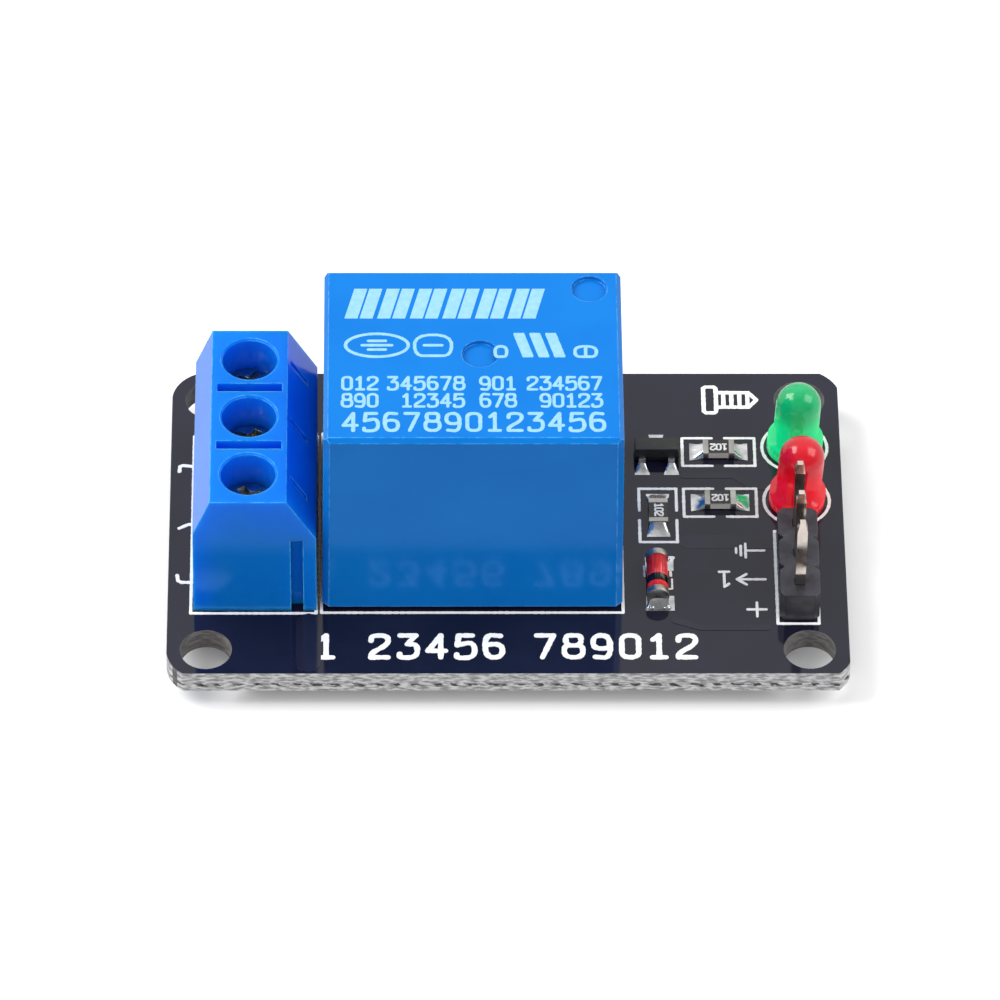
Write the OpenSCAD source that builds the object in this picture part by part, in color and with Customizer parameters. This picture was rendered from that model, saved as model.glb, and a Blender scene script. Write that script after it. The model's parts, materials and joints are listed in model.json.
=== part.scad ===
// Relay module board: a circuit board that carries a boxed relay, a three-way screw terminal,
// a three-pin header, two signal lamps and the small parts that drive the relay's coil.
// Millimetres. +X runs from the screw terminal to the header, +Y to the back edge, +Z up.
// The origin lies below the middle of the board, on the plane of the trimmed solder stubs.

/* [Board] */
// Length of the board along X
board_length = 43.1; // [30:0.1:80]
// Width of the board along Y
board_width = 26.2; // [20:0.1:60]
// Thickness of the laminate
board_thick = 1.6; // [0.8, 1.0, 1.2, 1.6, 2.0]
// Distance between the mounting holes along X
hole_spacing_x = 38.1; // [20:0.1:70]
// Distance between the mounting holes along Y
hole_spacing_y = 21.8; // [10:0.1:50]
// Diameter of a mounting hole
hole_dia = 3.3; // [2:0.1:4.5]
// Corner radius around the two holes beside the screw terminal
corner_r_terminal_end = 2.5; // [1:0.05:4]
// Corner radius around the two holes beside the header
corner_r_header_end = 2.75; // [1:0.05:4]
// How far the trimmed leads stand out below the board
stub_drop = 1.3; // [0.5:0.1:3]

/* [Screw terminal] */
// Distance between two poles
pole_pitch = 5.0; // [3.5:0.01:7.62]
// Depth of the moulding along X
terminal_depth = 7.8; // [6:0.1:12]
// Height of the moulding
terminal_height = 10.0; // [8:0.1:16]
// Height of the outer shoulder, above the wire entries
outer_shoulder = 7.1; // [5:0.05:9]
// Height of the inner shoulder, beside the relay
inner_shoulder = 6.65; // [5:0.05:9]
// Width of the outer slope along X
outer_slope = 1.15; // [0.2:0.05:3]
// Width of the inner slope along X
inner_slope = 1.85; // [0.2:0.05:3]
// Distance from the outer face to the screws' axes
screw_inset = 3.54; // [2.5:0.01:6]
// Diameter of a screw well
well_dia = 3.45; // [2.5:0.05:5]
// Diameter of a screw head
screw_head_dia = 3.25; // [2:0.05:4.8]
// Diameter of the screw's thread
screw_thread_dia = 2.5; // [2:0.1:4]
// Depth of the screw heads below the top of the moulding
screw_sink = 2.1; // [0:0.1:4]
// Rise of a clamp over the whole travel of its screw
clamp_lift = 2.0; // [0.5:0.05:3]

/* [Relay] */
// Length of the relay case along X
relay_length = 19.0; // [12:0.1:30]
// Width of the relay case along Y
relay_width = 15.2; // [10:0.1:28]
// Height of the relay case from its rim to its top
relay_height = 15.1; // [8:0.1:25]
// Gap between the case's rim and the board
relay_gap = 0.3; // [0:0.05:1]
// How far each wall leans in from rim to top
relay_draft = 0.14; // [0:0.01:0.8]
// Thickness of the case's walls
relay_wall = 0.85; // [0.5:0.05:1.5]
// Angle that the armature swings from rest to pulled in
armature_swing = 2; // [1:0.1:5]

/* [Header] */
// Pitch of the header pins
header_pitch = 2.54; // [1.27, 2.0, 2.54]
// Side of a header pin
header_pin = 0.64; // [0.4:0.01:0.8]
// Height of the pin tips above the board
header_pin_height = 7.8; // [4:0.05:15]
// Height of the header's moulding
header_height = 2.3; // [1.5:0.1:3]

/* [Signal lamps] */
// Diameter of the lamp's dome
lamp_dia = 2.9; // [2:0.1:5]
// Diameter of the lamp's flange
lamp_flange_dia = 3.6; // [2.5:0.1:6]
// Height of the lamp from the foot of its flange to its tip
lamp_height = 5.4; // [3:0.1:9]
// Thickness of the lamp's flange
lamp_flange = 1.0; // [0.4:0.1:1.6]
// Gap between the flange and the board
lamp_gap = 0.05; // [0:0.05:4]

/* [Hidden] */
$fn = 48;
eps = 0.01;

// Levels above the origin
board_bottom = stub_drop;
board_top = stub_drop + board_thick;

// Mounting holes: the pattern sits a little off the middle of the board
hole_x = [-0.02 - hole_spacing_x / 2, -0.02 + hole_spacing_x / 2];
hole_y = [-0.16 - hole_spacing_y / 2, -0.16 + hole_spacing_y / 2];

// Screw terminal: its outer front corner and its poles
pole_count = 3;
terminal_x = -19.89;
terminal_y = -7.74;
terminal_length = pole_count * pole_pitch;
cage_inset = 1.4;
cage_depth = 4.3;
cage_width = 3.8;
cage_foot = 0.5;
cage_lid = 1.2;
cage_wall = 0.5;
cage_headroom = 1.8;
cage_top = cage_foot + cage_wall + clamp_lift + cage_headroom + cage_lid;
cage_fit = 0.05;
wire_width = 2.8;
wire_height = 3.3;
guard_thick = 0.3;
thread_fit = 0.05;
terminal_pin = [1.0, 0.8];
screw_angle = [28, -35, 62];
screw_head_height = 1.2;
screw_dome = 0.42;
screw_slot = 0.55;

// Relay: its middle, its pins and the levels of its inner pieces above the board
relay_x = -2.24;
relay_y = -0.08;
com_pin_x = 7.34;
coil_pin_x = com_pin_x - 2.0;
contact_pin_x = com_pin_x - 14.2;
side_pin_y = 6.0;
base_bottom = 0.6;
base_top = 2.3;
core_x = 0.9;
yoke_thick = 1.1;
yoke_face_x = 8.0;
yoke_top = 11.5;
core_radius = 1.95;
bobbin_low = base_top + yoke_thick;
bobbin_high = 10.8;
flange_thick = 0.8;
flange_radius = 5.8;
tube_radius = 2.5;
winding_radius = 5.2;
fit_gap = 0.02;
armature_thick = 1.0;
blade_thick = 0.25;
contact_radius = 1.1;
contact_height = 0.35;
strip_thick = 0.4;
case_roof = 0.8;
no_face = 12.13;
nc_face = 13.74;

// Header, lamps and surface-mounted parts: places on the board
header_x = 18.46;
header_y = -4.78;
header_width = 2.54;
header_chamfer = 0.32;
lamp_x = 18.6;
red_lamp_y = 1.78;
green_lamp_y = 6.47;
red_lean = 3;
green_lean = 2;
lamp_lead = 0.5;
lamp_lead_pitch = 2.54;
chip = [2.0, 1.25, 0.5];
chip_end = 0.35;
chip_skin = 0.03;
chip_lift = 0.05;
chip_pad = 3.75;
chip_place = [[13.69, 6.07, 0], [13.69, 1.60, 0], [9.69, 0.49, 90]];
transistor_x = 9.69;
transistor_y = 5.82;
diode_x = 9.51;
diode_front = -7.28;
diode_length = 3.6;
diode_cap = 0.44;
diode_dia = 1.45;
diode_axis = board_top + diode_dia / 2 + 0.04;

// Plated holes for the leads: place, hole, pad, and the lead's section
terminal_hole = 1.5;
relay_hole = 1.4;
header_hole = 1.02;
lamp_hole = 0.85;

// Colours
mask_black = [0.05, 0.05, 0.07];
terminal_blue = [0.05, 0.35, 0.85];
relay_blue = [0.06, 0.38, 0.88];
tin = [0.78, 0.77, 0.74];
brass = [0.80, 0.66, 0.34];
steel = [0.62, 0.62, 0.64];
solder_grey = [0.70, 0.71, 0.72];
moulding_black = [0.07, 0.07, 0.08];
copper = [0.75, 0.38, 0.18];
natural_white = [0.90, 0.89, 0.84];

// ---- Shapes that several pieces share ----

// Block whose section changes evenly from foot to top: two crossed profiles
module drafted_block(foot, top, height) {
    reach = max(foot[0], foot[1], top[0], top[1]) + 2;
    intersection() {
        rotate([90, 0, 0]) linear_extrude(height = reach, center = true)
            polygon([[-foot[0] / 2, 0], [foot[0] / 2, 0], [top[0] / 2, height], [-top[0] / 2, height]]);
        rotate([90, 0, 90]) linear_extrude(height = reach, center = true)
            polygon([[-foot[1] / 2, 0], [foot[1] / 2, 0], [top[1] / 2, height], [-top[1] / 2, height]]);
    }
}

// Side view of a square pin whose ends taper, over tips[0] below and tips[1] above
module pin_side_view(side, low, high, tips) {
    end = side * 0.55 / 2;
    half = side / 2;
    polygon([[-end, low], [end, low], [half, low + tips[0]], [half, high - tips[1]],
             [end, high], [-end, high], [-half, high - tips[1]], [-half, low + tips[0]]]);
}

// Square pin with a tapered tip at each end
module tipped_pin(side, low, high, tips) {
    intersection() {
        rotate([90, 0, 0]) linear_extrude(height = 2 * side, center = true)
            pin_side_view(side, low, high, tips);
        rotate([90, 0, 90]) linear_extrude(height = 2 * side, center = true)
            pin_side_view(side, low, high, tips);
    }
}

// Flat bar between two levels, centred on its axis
module bar(size, low, high) {
    translate([-size[0] / 2, -size[1] / 2, low]) cube([size[0], size[1], high - low]);
}

// Solder of one plated hole: the fill of the hole and the hollow cone below the board
module hole_solder(hole, pad, neck) {
    translate([0, 0, board_bottom - eps]) cylinder(d = hole - 0.02, h = board_thick - 0.05 + eps);
    translate([0, 0, board_bottom]) rotate_extrude()
        polygon([[0, 0], [pad / 2, 0], [pad / 2, -0.06], [0.5 * pad / 2 + neck / 4, -0.22],
                 [0.18 * pad / 2 + 0.82 * neck / 2, -0.55], [neck / 2, -0.98], [0, -0.98]]);
}

// ---- Circuit board ----

// Outline: a rectangle whose corners follow the mounting holes
module board_outline() {
    difference() {
        square([board_length, board_width], center = true);
        for (i = [0, 1], j = [0, 1]) {
            r = i == 0 ? corner_r_terminal_end : corner_r_header_end;
            translate([hole_x[i], hole_y[j]]) mirror([1 - i, 0]) mirror([0, 1 - j]) difference() {
                square([8, 8]);
                circle(r = r);
            }
        }
    }
}

module pole_places() {
    for (i = [0 : pole_count - 1])
        translate([terminal_x + screw_inset, terminal_y + (i + 0.5) * pole_pitch, 0]) children();
}

module relay_pin_places(com = true, contacts = true, coil = true) {
    translate([relay_x, relay_y, 0]) {
        if (com) translate([com_pin_x, 0, 0]) children();
        if (contacts) for (s = [-1, 1]) translate([contact_pin_x, s * side_pin_y, 0]) children();
        if (coil) for (s = [-1, 1]) translate([coil_pin_x, s * side_pin_y, 0]) children();
    }
}

module header_places() {
    for (i = [-1 : 1]) translate([header_x, header_y + i * header_pitch, 0]) children();
}

module lamp_lead_places() {
    for (y = [red_lamp_y, green_lamp_y], s = [-1, 1])
        translate([lamp_x, y + s * lamp_lead_pitch / 2, 0]) children();
}

module circuit_board() {
    color(mask_black) translate([0, 0, board_bottom]) linear_extrude(height = board_thick)
        difference() {
            board_outline();
            for (x = hole_x, y = hole_y) translate([x, y]) circle(d = hole_dia);
            pole_places() circle(d = terminal_hole);
            relay_pin_places() circle(d = relay_hole);
            header_places() circle(d = header_hole);
            lamp_lead_places() circle(d = lamp_hole);
        }
}

// ---- Screw terminal ----

// Height of the inner slope's surface at a distance x from the outer face
function slope_height(x) =
    terminal_height - (x - (terminal_depth - inner_slope)) / inner_slope
    * (terminal_height - inner_shoulder);

module terminal_section() {
    polygon([[0, 0], [terminal_depth, 0], [terminal_depth, inner_shoulder],
             [terminal_depth - inner_slope, terminal_height], [outer_slope, terminal_height],
             [0.04, outer_shoulder]]);
}

// Dovetail that joins two blocks side by side: mouth at y = 0, wider behind it
module dovetail(mouth, depth, height) {
    linear_extrude(height = height)
        polygon([[-mouth / 2, -eps], [mouth / 2, -eps], [mouth / 2, 0],
                 [mouth / 2 + 0.14, depth], [-mouth / 2 - 0.14, depth], [-mouth / 2, 0]]);
}

module terminal_housing() {
    key_x = 6.57;
    key_height = 6.47;
    color(terminal_blue) translate([terminal_x, terminal_y, board_top]) difference() {
        union() {
            translate([0, terminal_length, 0]) rotate([90, 0, 0])
                linear_extrude(height = terminal_length) terminal_section();
            translate([key_x, terminal_length, 0]) dovetail(0.66, 0.5, key_height - 0.15);
        }
        translate([key_x, 0, -eps]) dovetail(0.76, 0.6, key_height + eps);
        for (i = [0 : pole_count - 1]) translate([0, (i + 0.5) * pole_pitch, 0]) {
            // screw well with a small chamfer at its rim
            translate([screw_inset, 0, cage_top]) cylinder(d = well_dia, h = terminal_height);
            translate([screw_inset, 0, terminal_height - 0.12])
                cylinder(d1 = well_dia, d2 = well_dia + 0.28, h = 0.14);
            // chamber for the brass cage, open below
            translate([cage_inset - cage_fit, -cage_width / 2 - cage_fit, -eps])
                cube([cage_depth + 2 * cage_fit, cage_width + 2 * cage_fit,
                      cage_top + cage_fit + eps]);
            // wire entry with its funnel
            translate([-eps, -wire_width / 2, cage_foot + cage_wall])
                cube([cage_inset + 2 * eps, wire_width, wire_height]);
            translate([-eps, 0, cage_foot + cage_wall + wire_height / 2]) rotate([0, 90, 0])
                drafted_block([wire_height + 1.0, wire_width + 0.9], [wire_height, wire_width], 0.6);
            // narrow slit in the inner slope
            slit_from = terminal_depth - inner_slope + 0.18;
            slit_to = terminal_depth - 0.62;
            translate([0, 0.22, 0]) rotate([90, 0, 0]) linear_extrude(height = 0.44)
                polygon([[slit_from, slope_height(slit_from) + 1], [slit_to, slope_height(slit_to) + 1],
                         [slit_to, slope_height(slit_to) - 0.4],
                         [slit_from, slope_height(slit_from) - 0.5]]);
        }
        // dividing slots in the top
        for (i = [1 : pole_count - 1])
            translate([1.5, i * pole_pitch - 0.35, terminal_height - 0.9])
                cube([4.12, 0.7, 2]);
    }
}

// Moves a piece to the screw axis of pole i, at the board's top
module at_pole(i) {
    translate([terminal_x + screw_inset, terminal_y + (i - 0.5) * pole_pitch, board_top])
        children();
}

// Formed brass cage with a tapped lid and a solder pin
module clamp_cage(i) {
    color(brass) at_pole(i) difference() {
        union() {
            translate([cage_inset - screw_inset, -cage_width / 2, cage_foot])
                cube([cage_depth, cage_width, cage_top - cage_foot]);
            bar(terminal_pin, -board_top, cage_foot + eps);
        }
        translate([cage_inset - screw_inset - 1, -cage_width / 2 + cage_wall, cage_foot + cage_wall])
            cube([cage_depth + 2, cage_width - 2 * cage_wall,
                  cage_top - cage_lid - cage_foot - cage_wall]);
        translate([0, 0, cage_top - cage_lid - 1]) cylinder(d = screw_thread_dia + 2 * thread_fit, h = 4);
    }
}

// Steel leaf between screw and wire, turned up at both ends
module wire_guard(i) {
    low = cage_foot + cage_wall + 0.02;
    half = cage_depth / 2 - 0.12;
    mid = cage_inset + cage_depth / 2 - screw_inset;
    color(steel) at_pole(i) translate([mid, wire_width / 2 - cage_fit, low]) rotate([90, 0, 0])
        linear_extrude(height = wire_width - 2 * cage_fit)
            polygon([[-half, 0.45], [-half + 0.45, 0], [half, 0], [half, 1.5], [half - guard_thick, 1.5],
                     [half - guard_thick, guard_thick], [-half + 0.62, guard_thick],
                     [-half + 0.2, 0.68]]);
}

// Pan-head screw with a slot and a shorter cross slot
module clamp_screw(i) {
    top = terminal_height - screw_sink;
    under = top - screw_head_height;
    tip = cage_foot + cage_wall + 0.02 + guard_thick + 0.02;
    r = screw_head_dia / 2;
    dome_r = (r * r + screw_dome * screw_dome) / (2 * screw_dome);
    color(steel) at_pole(i) rotate([0, 0, screw_angle[i - 1]]) difference() {
        union() {
            intersection() {
                translate([0, 0, under]) cylinder(r = r, h = screw_head_height);
                translate([0, 0, top - dome_r]) sphere(r = dome_r);
            }
            translate([0, 0, tip + 0.35]) cylinder(d = screw_thread_dia, h = under - tip - 0.35 + eps);
            translate([0, 0, tip]) cylinder(d1 = screw_thread_dia - 0.8, d2 = screw_thread_dia, h = 0.35);
        }
        translate([-r - 1, -screw_slot / 2, top - 0.75]) cube([2 * r + 2, screw_slot, 2]);
        translate([-screw_slot / 2, -1.05, top - 0.75]) cube([screw_slot, 2.1, 2]);
    }
}

// ---- Relay ----

module at_relay() {
    translate([relay_x, relay_y, board_top]) children();
}

// Drafted box with chamfered upright edges and top edges; inset moves every wall inwards
module case_form(inset, height, edge, rim) {
    a = relay_length / 2 - inset;
    b = relay_width / 2 - inset;
    d = relay_draft * height / relay_height;
    reach = relay_length + 4;
    diagonal_foot = sqrt(2) * (a + b - edge);
    diagonal_top = sqrt(2) * (a + b - 2 * d - edge);
    intersection() {
        rotate([90, 0, 0]) linear_extrude(height = reach, center = true)
            polygon([[-a, 0], [a, 0], [a - d, height - rim], [a - d - rim, height],
                     [-a + d + rim, height], [-a + d, height - rim]]);
        rotate([90, 0, 90]) linear_extrude(height = reach, center = true)
            polygon([[-b, 0], [b, 0], [b - d, height - rim], [b - d - rim, height],
                     [-b + d + rim, height], [-b + d, height - rim]]);
        rotate([0, 0, 45]) drafted_block([diagonal_foot, diagonal_foot],
                                         [diagonal_top, diagonal_top], height);
    }
}

module relay_case() {
    color(relay_blue) at_relay() translate([0, 0, relay_gap]) difference() {
        case_form(0, relay_height, 0.4, 0.28);
        translate([0, 0, -eps]) case_form(relay_wall, relay_height - case_roof, 0.2, 0.1);
        // moulding gate and sealing dimple in the top
        translate([0.44, 0.06, relay_height - 0.3]) cylinder(d = 2.3, h = 1);
        translate([7.36, 5.77, relay_height - 0.3]) cylinder(d = 2.25, h = 1);
    }
}

// Section of each relay lead
com_section = [0.8, 1.0];
contact_section = [1.0, strip_thick];
coil_lead_dia = 0.6;

module relay_base() {
    l = relay_length - 2 * relay_wall - 0.3;
    w = relay_width - 2 * relay_wall - 0.3;
    color(moulding_black) at_relay() difference() {
        union() {
            bar([l, w], base_bottom, base_top);
            for (x = [-7.4, 6.2], y = [-3.9, 3.9])
                translate([x, y, 0]) cylinder(d = 1.2, h = base_bottom + eps);
        }
        translate([com_pin_x, 0, 0]) bar(com_section, 0, 4);
        for (s = [-1, 1]) {
            translate([contact_pin_x, s * side_pin_y, 0]) bar(contact_section, 0, 4);
            translate([coil_pin_x, s * side_pin_y, 0]) cylinder(d = coil_lead_dia + 2 * fit_gap, h = 4);
        }
    }
}

// Lugs on the lower flange carry the two coil leads
module relay_bobbin() {
    color(natural_white) at_relay() difference() {
        union() {
            translate([core_x, 0, bobbin_low]) cylinder(r = flange_radius, h = flange_thick);
            translate([core_x, 0, bobbin_high - flange_thick])
                cylinder(r = flange_radius, h = flange_thick);
            translate([core_x, 0, bobbin_low]) cylinder(r = tube_radius, h = bobbin_high - bobbin_low);
            for (s = [-1, 1])
                translate([coil_pin_x - 1.2, s > 0 ? 3.2 : -side_pin_y - 0.55, bobbin_low])
                    cube([2.0, side_pin_y + 0.55 - 3.2, flange_thick]);
        }
        translate([core_x, 0, 0]) cylinder(r = core_radius + fit_gap, h = 20);
        for (s = [-1, 1]) translate([coil_pin_x, s * side_pin_y, 0])
            cylinder(d = coil_lead_dia + 2 * fit_gap, h = 10);
    }
}

module relay_coil_winding() {
    low = bobbin_low + flange_thick + fit_gap;
    high = bobbin_high - flange_thick - fit_gap;
    color(copper) at_relay() translate([core_x, 0, low]) difference() {
        cylinder(r = winding_radius, h = high - low);
        translate([0, 0, -1]) cylinder(r = tube_radius + fit_gap, h = high - low + 2);
    }
}

// Iron core with a pole disc above the bobbin
module relay_core() {
    color(steel) at_relay() translate([core_x, 0, 0]) {
        translate([0, 0, base_top]) cylinder(r = core_radius, h = bobbin_high - base_top + eps);
        translate([0, 0, bobbin_high]) cylinder(r = 3.1, h = yoke_top - 0.05 - bobbin_high);
    }
}

// Bent yoke: foot under the bobbin, wall behind it, and the common lead
module relay_yoke() {
    color(steel) at_relay() difference() {
        union() {
            translate([core_x - 3.4, -3.6, base_top])
                cube([yoke_face_x - core_x + 3.4, 7.2, yoke_thick]);
            translate([yoke_face_x - yoke_thick, -3.6, base_top])
                cube([yoke_thick, 7.2, yoke_top - base_top]);
            translate([com_pin_x, 0, 0]) bar(com_section, -board_top, base_top + eps);
        }
        translate([core_x, 0, base_top - 1]) cylinder(r = core_radius + fit_gap, h = yoke_thick + 2);
    }
}

// The armature and its blade are drawn pulled in, then lifted about the yoke's edge to rest
module at_armature() {
    at_relay() translate([yoke_face_x, 0, yoke_top]) rotate([0, armature_swing, 0]) children();
}

module relay_armature() {
    left = core_x - 3.6 - yoke_face_x;
    color(steel) at_armature() translate([0, 0, 0.02]) difference() {
        linear_extrude(height = armature_thick)
            polygon([[0.2, -3.2], [0.2, 3.2], [-1.6, 3.2], [-2.6, 4.1], [left, 4.1], [left, -4.1],
                     [-2.6, -4.1], [-1.6, -3.2]]);
        for (x = [-5.2, -8.8]) translate([x, 0, -1]) cylinder(r = 0.5 + fit_gap, h = 3);
    }
}

// Copper spring blade: two rivets through the armature and a double contact at its free end
module relay_contact_blade() {
    low = 0.02 + armature_thick;
    reach = contact_pin_x - yoke_face_x;
    color(copper) at_armature() {
        translate([reach - 1.2, 0, low]) linear_extrude(height = blade_thick)
            polygon([[0.5, -1.3], [3.0, -1.3], [4.6, -1.8], [-reach - 0.1, -1.8], [-reach - 0.1, 1.8],
                     [4.6, 1.8], [3.0, 1.3], [0.5, 1.3], [0, 0.8], [0, -0.8]]);
        for (x = [-5.2, -8.8]) {
            translate([x, 0, low - 0.9]) cylinder(r = 0.5, h = 0.95);
            translate([x, 0, low + blade_thick - eps]) cylinder(r = 0.75, h = 0.3);
        }
        translate([reach, 0, low - contact_height])
            cylinder(r = contact_radius, h = 2 * contact_height + blade_thick);
    }
}

// Fixed contact: lead, upright strip, arm over the middle and contact button
module fixed_contact(side, face, up) {
    low = up ? face - contact_height - strip_thick : face + contact_height;
    y0 = side * side_pin_y;
    inner = y0 - side * strip_thick / 2;
    translate([contact_pin_x, y0, 0]) {
        bar(contact_section, -board_top, base_top + 1);
        bar([2.0, strip_thick], base_top, low + strip_thick);
    }
    translate([contact_pin_x - 1.0, side > 0 ? -1.2 : inner - eps, low])
        cube([2.0, abs(inner) + 1.2 + eps, strip_thick]);
    translate([contact_pin_x, 0, up ? low + strip_thick - eps : face])
        cylinder(r = contact_radius, h = contact_height + eps);
}

module relay_no_terminal() {
    color(copper) at_relay() fixed_contact(-1, no_face, true);
}

module relay_nc_terminal() {
    color(copper) at_relay() fixed_contact(1, nc_face, false);
}

module relay_coil_pin(s) {
    color(tin) at_relay() translate([coil_pin_x, s * side_pin_y, -board_top])
        cylinder(d = coil_lead_dia, h = board_top + bobbin_low + flange_thick + 0.7);
}

// ---- Header ----

module header_housing() {
    w = header_width / 2;
    p = header_pitch / 2;
    c = header_chamfer;
    color(moulding_black) translate([0, 0, board_top]) difference() {
        header_places() linear_extrude(height = header_height)
            polygon([[-w, -p + c], [-w + c, -p], [w - c, -p], [w, -p + c],
                     [w, p - c], [w - c, p], [-w + c, p], [-w, p - c]]);
        header_places() bar([header_pin, header_pin], -1, header_height + 1);
    }
}

module header_pin_piece(i) {
    color(tin) translate([header_x, header_y + (i - 2) * header_pitch, 0])
        tipped_pin(header_pin, 0, board_top + header_pin_height, [0.3, 0.7]);
}

// ---- Signal lamps ----

// Lead i is -1 in front of the lamp's axis and 1 behind it
module lamp_leads(y, i) {
    translate([lamp_x, y + i * lamp_lead_pitch / 2, 0])
        bar([lamp_lead, lamp_lead], 0, board_top + lamp_gap + 1.6);
}

// Moulded lens with flange, flat for the cathode, and dome
module lamp_lens(y, lean) {
    r = lamp_dia / 2;
    difference() {
        translate([lamp_x, y, board_top + lamp_gap]) rotate([0, lean, 0]) {
            difference() {
                cylinder(d = lamp_flange_dia, h = lamp_flange);
                translate([-3, lamp_flange_dia / 2 - 0.3, -1]) cube([6, 2, 4]);
            }
            cylinder(r = r, h = lamp_height - r);
            translate([0, 0, lamp_height - r]) sphere(r = r);
        }
        for (i = [-1, 1]) lamp_leads(y, i);
    }
}

module green_lamp_lens() { color([0.10, 0.75, 0.38]) lamp_lens(green_lamp_y, green_lean); }
module red_lamp_lens() { color([0.90, 0.06, 0.16]) lamp_lens(red_lamp_y, red_lean); }
module green_lamp_anode() { color(tin) lamp_leads(green_lamp_y, -1); }
module green_lamp_cathode() { color(tin) lamp_leads(green_lamp_y, 1); }
module red_lamp_anode() { color(tin) lamp_leads(red_lamp_y, -1); }
module red_lamp_cathode() { color(tin) lamp_leads(red_lamp_y, 1); }

// ---- Surface-mounted parts ----

module at_chip(i) {
    translate([chip_place[i - 1][0], chip_place[i - 1][1], board_top])
        rotate([0, 0, chip_place[i - 1][2]]) children();
}

// Ceramic chip with its coated resistor film on top
module chip_body() {
    s = chip_skin;
    bar([chip[0] - 2 * s, chip[1] - 2 * s], chip_lift + s, chip_lift + chip[2] - s);
    bar([chip[0] - 2 * chip_end, chip[1] - 0.1], chip_lift + chip[2] - s - eps, chip_lift + chip[2]);
}

module resistor(i) {
    color(moulding_black) at_chip(i) chip_body();
}

// Plated ends wrap around the chip
module resistor_ends(i) {
    color(tin) at_chip(i) difference() {
        for (s = [-1, 1]) translate([s * (chip[0] - chip_end) / 2, 0, 0])
            bar([chip_end, chip[1]], chip_lift, chip_lift + chip[2]);
        chip_body();
    }
}

module at_transistor() {
    translate([transistor_x, transistor_y, board_top]) children();
}

// Gull-wing lead: leaves the body at mid height and stands on its pad; side is -1 in front
module gull_lead(x, side) {
    t = 0.13;
    at_transistor() mirror([0, side < 0 ? 1 : 0, 0]) translate([x - 0.21, 0, 0]) rotate([90, 0, 90])
        linear_extrude(height = 0.42)
            polygon([[0.45, 0.46], [0.84, 0.46], [0.97, 0.05], [1.32, 0.05], [1.32, 0.05 + t],
                     [1.07, 0.05 + t], [0.94, 0.46 + t], [0.45, 0.46 + t]]);
}

module transistor_body() {
    color(moulding_black) difference() {
        at_transistor() {
            translate([0, 0, 0.1]) drafted_block([2.76, 1.14], [2.9, 1.28], 0.42 + eps);
            translate([0, 0, 0.52]) drafted_block([2.9, 1.28], [2.72, 1.04], 0.56);
        }
        gull_lead(-0.94, -1);
        gull_lead(0.94, -1);
        gull_lead(0, 1);
    }
}

module transistor_base_lead() { color(tin) gull_lead(-0.94, -1); }
module transistor_emitter_lead() { color(tin) gull_lead(0.94, -1); }
module transistor_collector_lead() { color(tin) gull_lead(0, 1); }

module diode_span(from, to, dia) {
    translate([diode_x, to, diode_axis]) rotate([90, 0, 0]) cylinder(d = dia, h = to - from);
}

module diode_glass() {
    color([0.85, 0.22, 0.14])
        diode_span(diode_front + diode_cap, diode_front + diode_length - diode_cap, diode_dia - 0.1);
}

module diode_front_cap() {
    color(tin) diode_span(diode_front, diode_front + diode_cap, diode_dia);
}

module diode_back_cap() {
    back = diode_front + diode_length;
    color(tin) diode_span(back - diode_cap, back, diode_dia);
}

// ---- Solder ----

module terminal_solder() {
    color(solder_grey) difference() {
        pole_places() hole_solder(terminal_hole, 3.0, 1.5);
        pole_places() bar(terminal_pin, -1, board_top + 1);
    }
}

module relay_solder() {
    color(solder_grey) difference() {
        relay_pin_places() hole_solder(relay_hole, 2.6, 1.35);
        relay_pin_places(true, false, false) bar(com_section, -1, board_top + 1);
        relay_pin_places(false, true, false) bar(contact_section, -1, board_top + 1);
        relay_pin_places(false, false, true) translate([0, 0, -1])
            cylinder(d = coil_lead_dia + 0.01, h = board_top + 2);
    }
}

module header_solder() {
    color(solder_grey) difference() {
        header_places() hole_solder(header_hole, 1.9, 1.0);
        header_places() bar([header_pin, header_pin], -1, board_top + 1);
    }
}

module lamp_solder() {
    color(solder_grey) difference() {
        lamp_lead_places() hole_solder(lamp_hole, 1.7, 0.8);
        lamp_lead_places() bar([lamp_lead, lamp_lead], -1, board_top + 1);
    }
}

// Fillet from the end of a chip down to the outer edge of its pad, with hipped sides
module end_fillet(from, to, height, foot, head, under) {
    intersection() {
        translate([0, foot, 0]) rotate([90, 0, 0]) linear_extrude(height = 2 * foot)
            polygon([[from - under, 0], [to, 0], [to, 0.05], [from + 0.55 * (to - from), 0.3 * height],
                     [from + 0.14 * (to - from), 0.82 * height], [from, height],
                     [from, chip_lift], [from - under, chip_lift]]);
        translate([(from + to) / 2, 0, 0])
            drafted_block([2 * (to - from) + 2 * under + 2, foot], [4 * (to - from) + 2, head], height);
    }
}

module gull_solder(x, side) {
    at_transistor() mirror([0, side < 0 ? 1 : 0, 0]) translate([x, 0, 0]) rotate([0, 0, 90])
        intersection() {
            translate([0, 1, 0]) rotate([90, 0, 0]) linear_extrude(height = 2)
                polygon([[0.86, 0], [1.82, 0], [1.82, 0.05], [1.5, 0.3], [1.2, 0.42], [1.03, 0.5],
                         [0.95, 0.42]]);
            drafted_block([6, 1.14], [6, 0.3], 0.5);
        }
}

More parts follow.
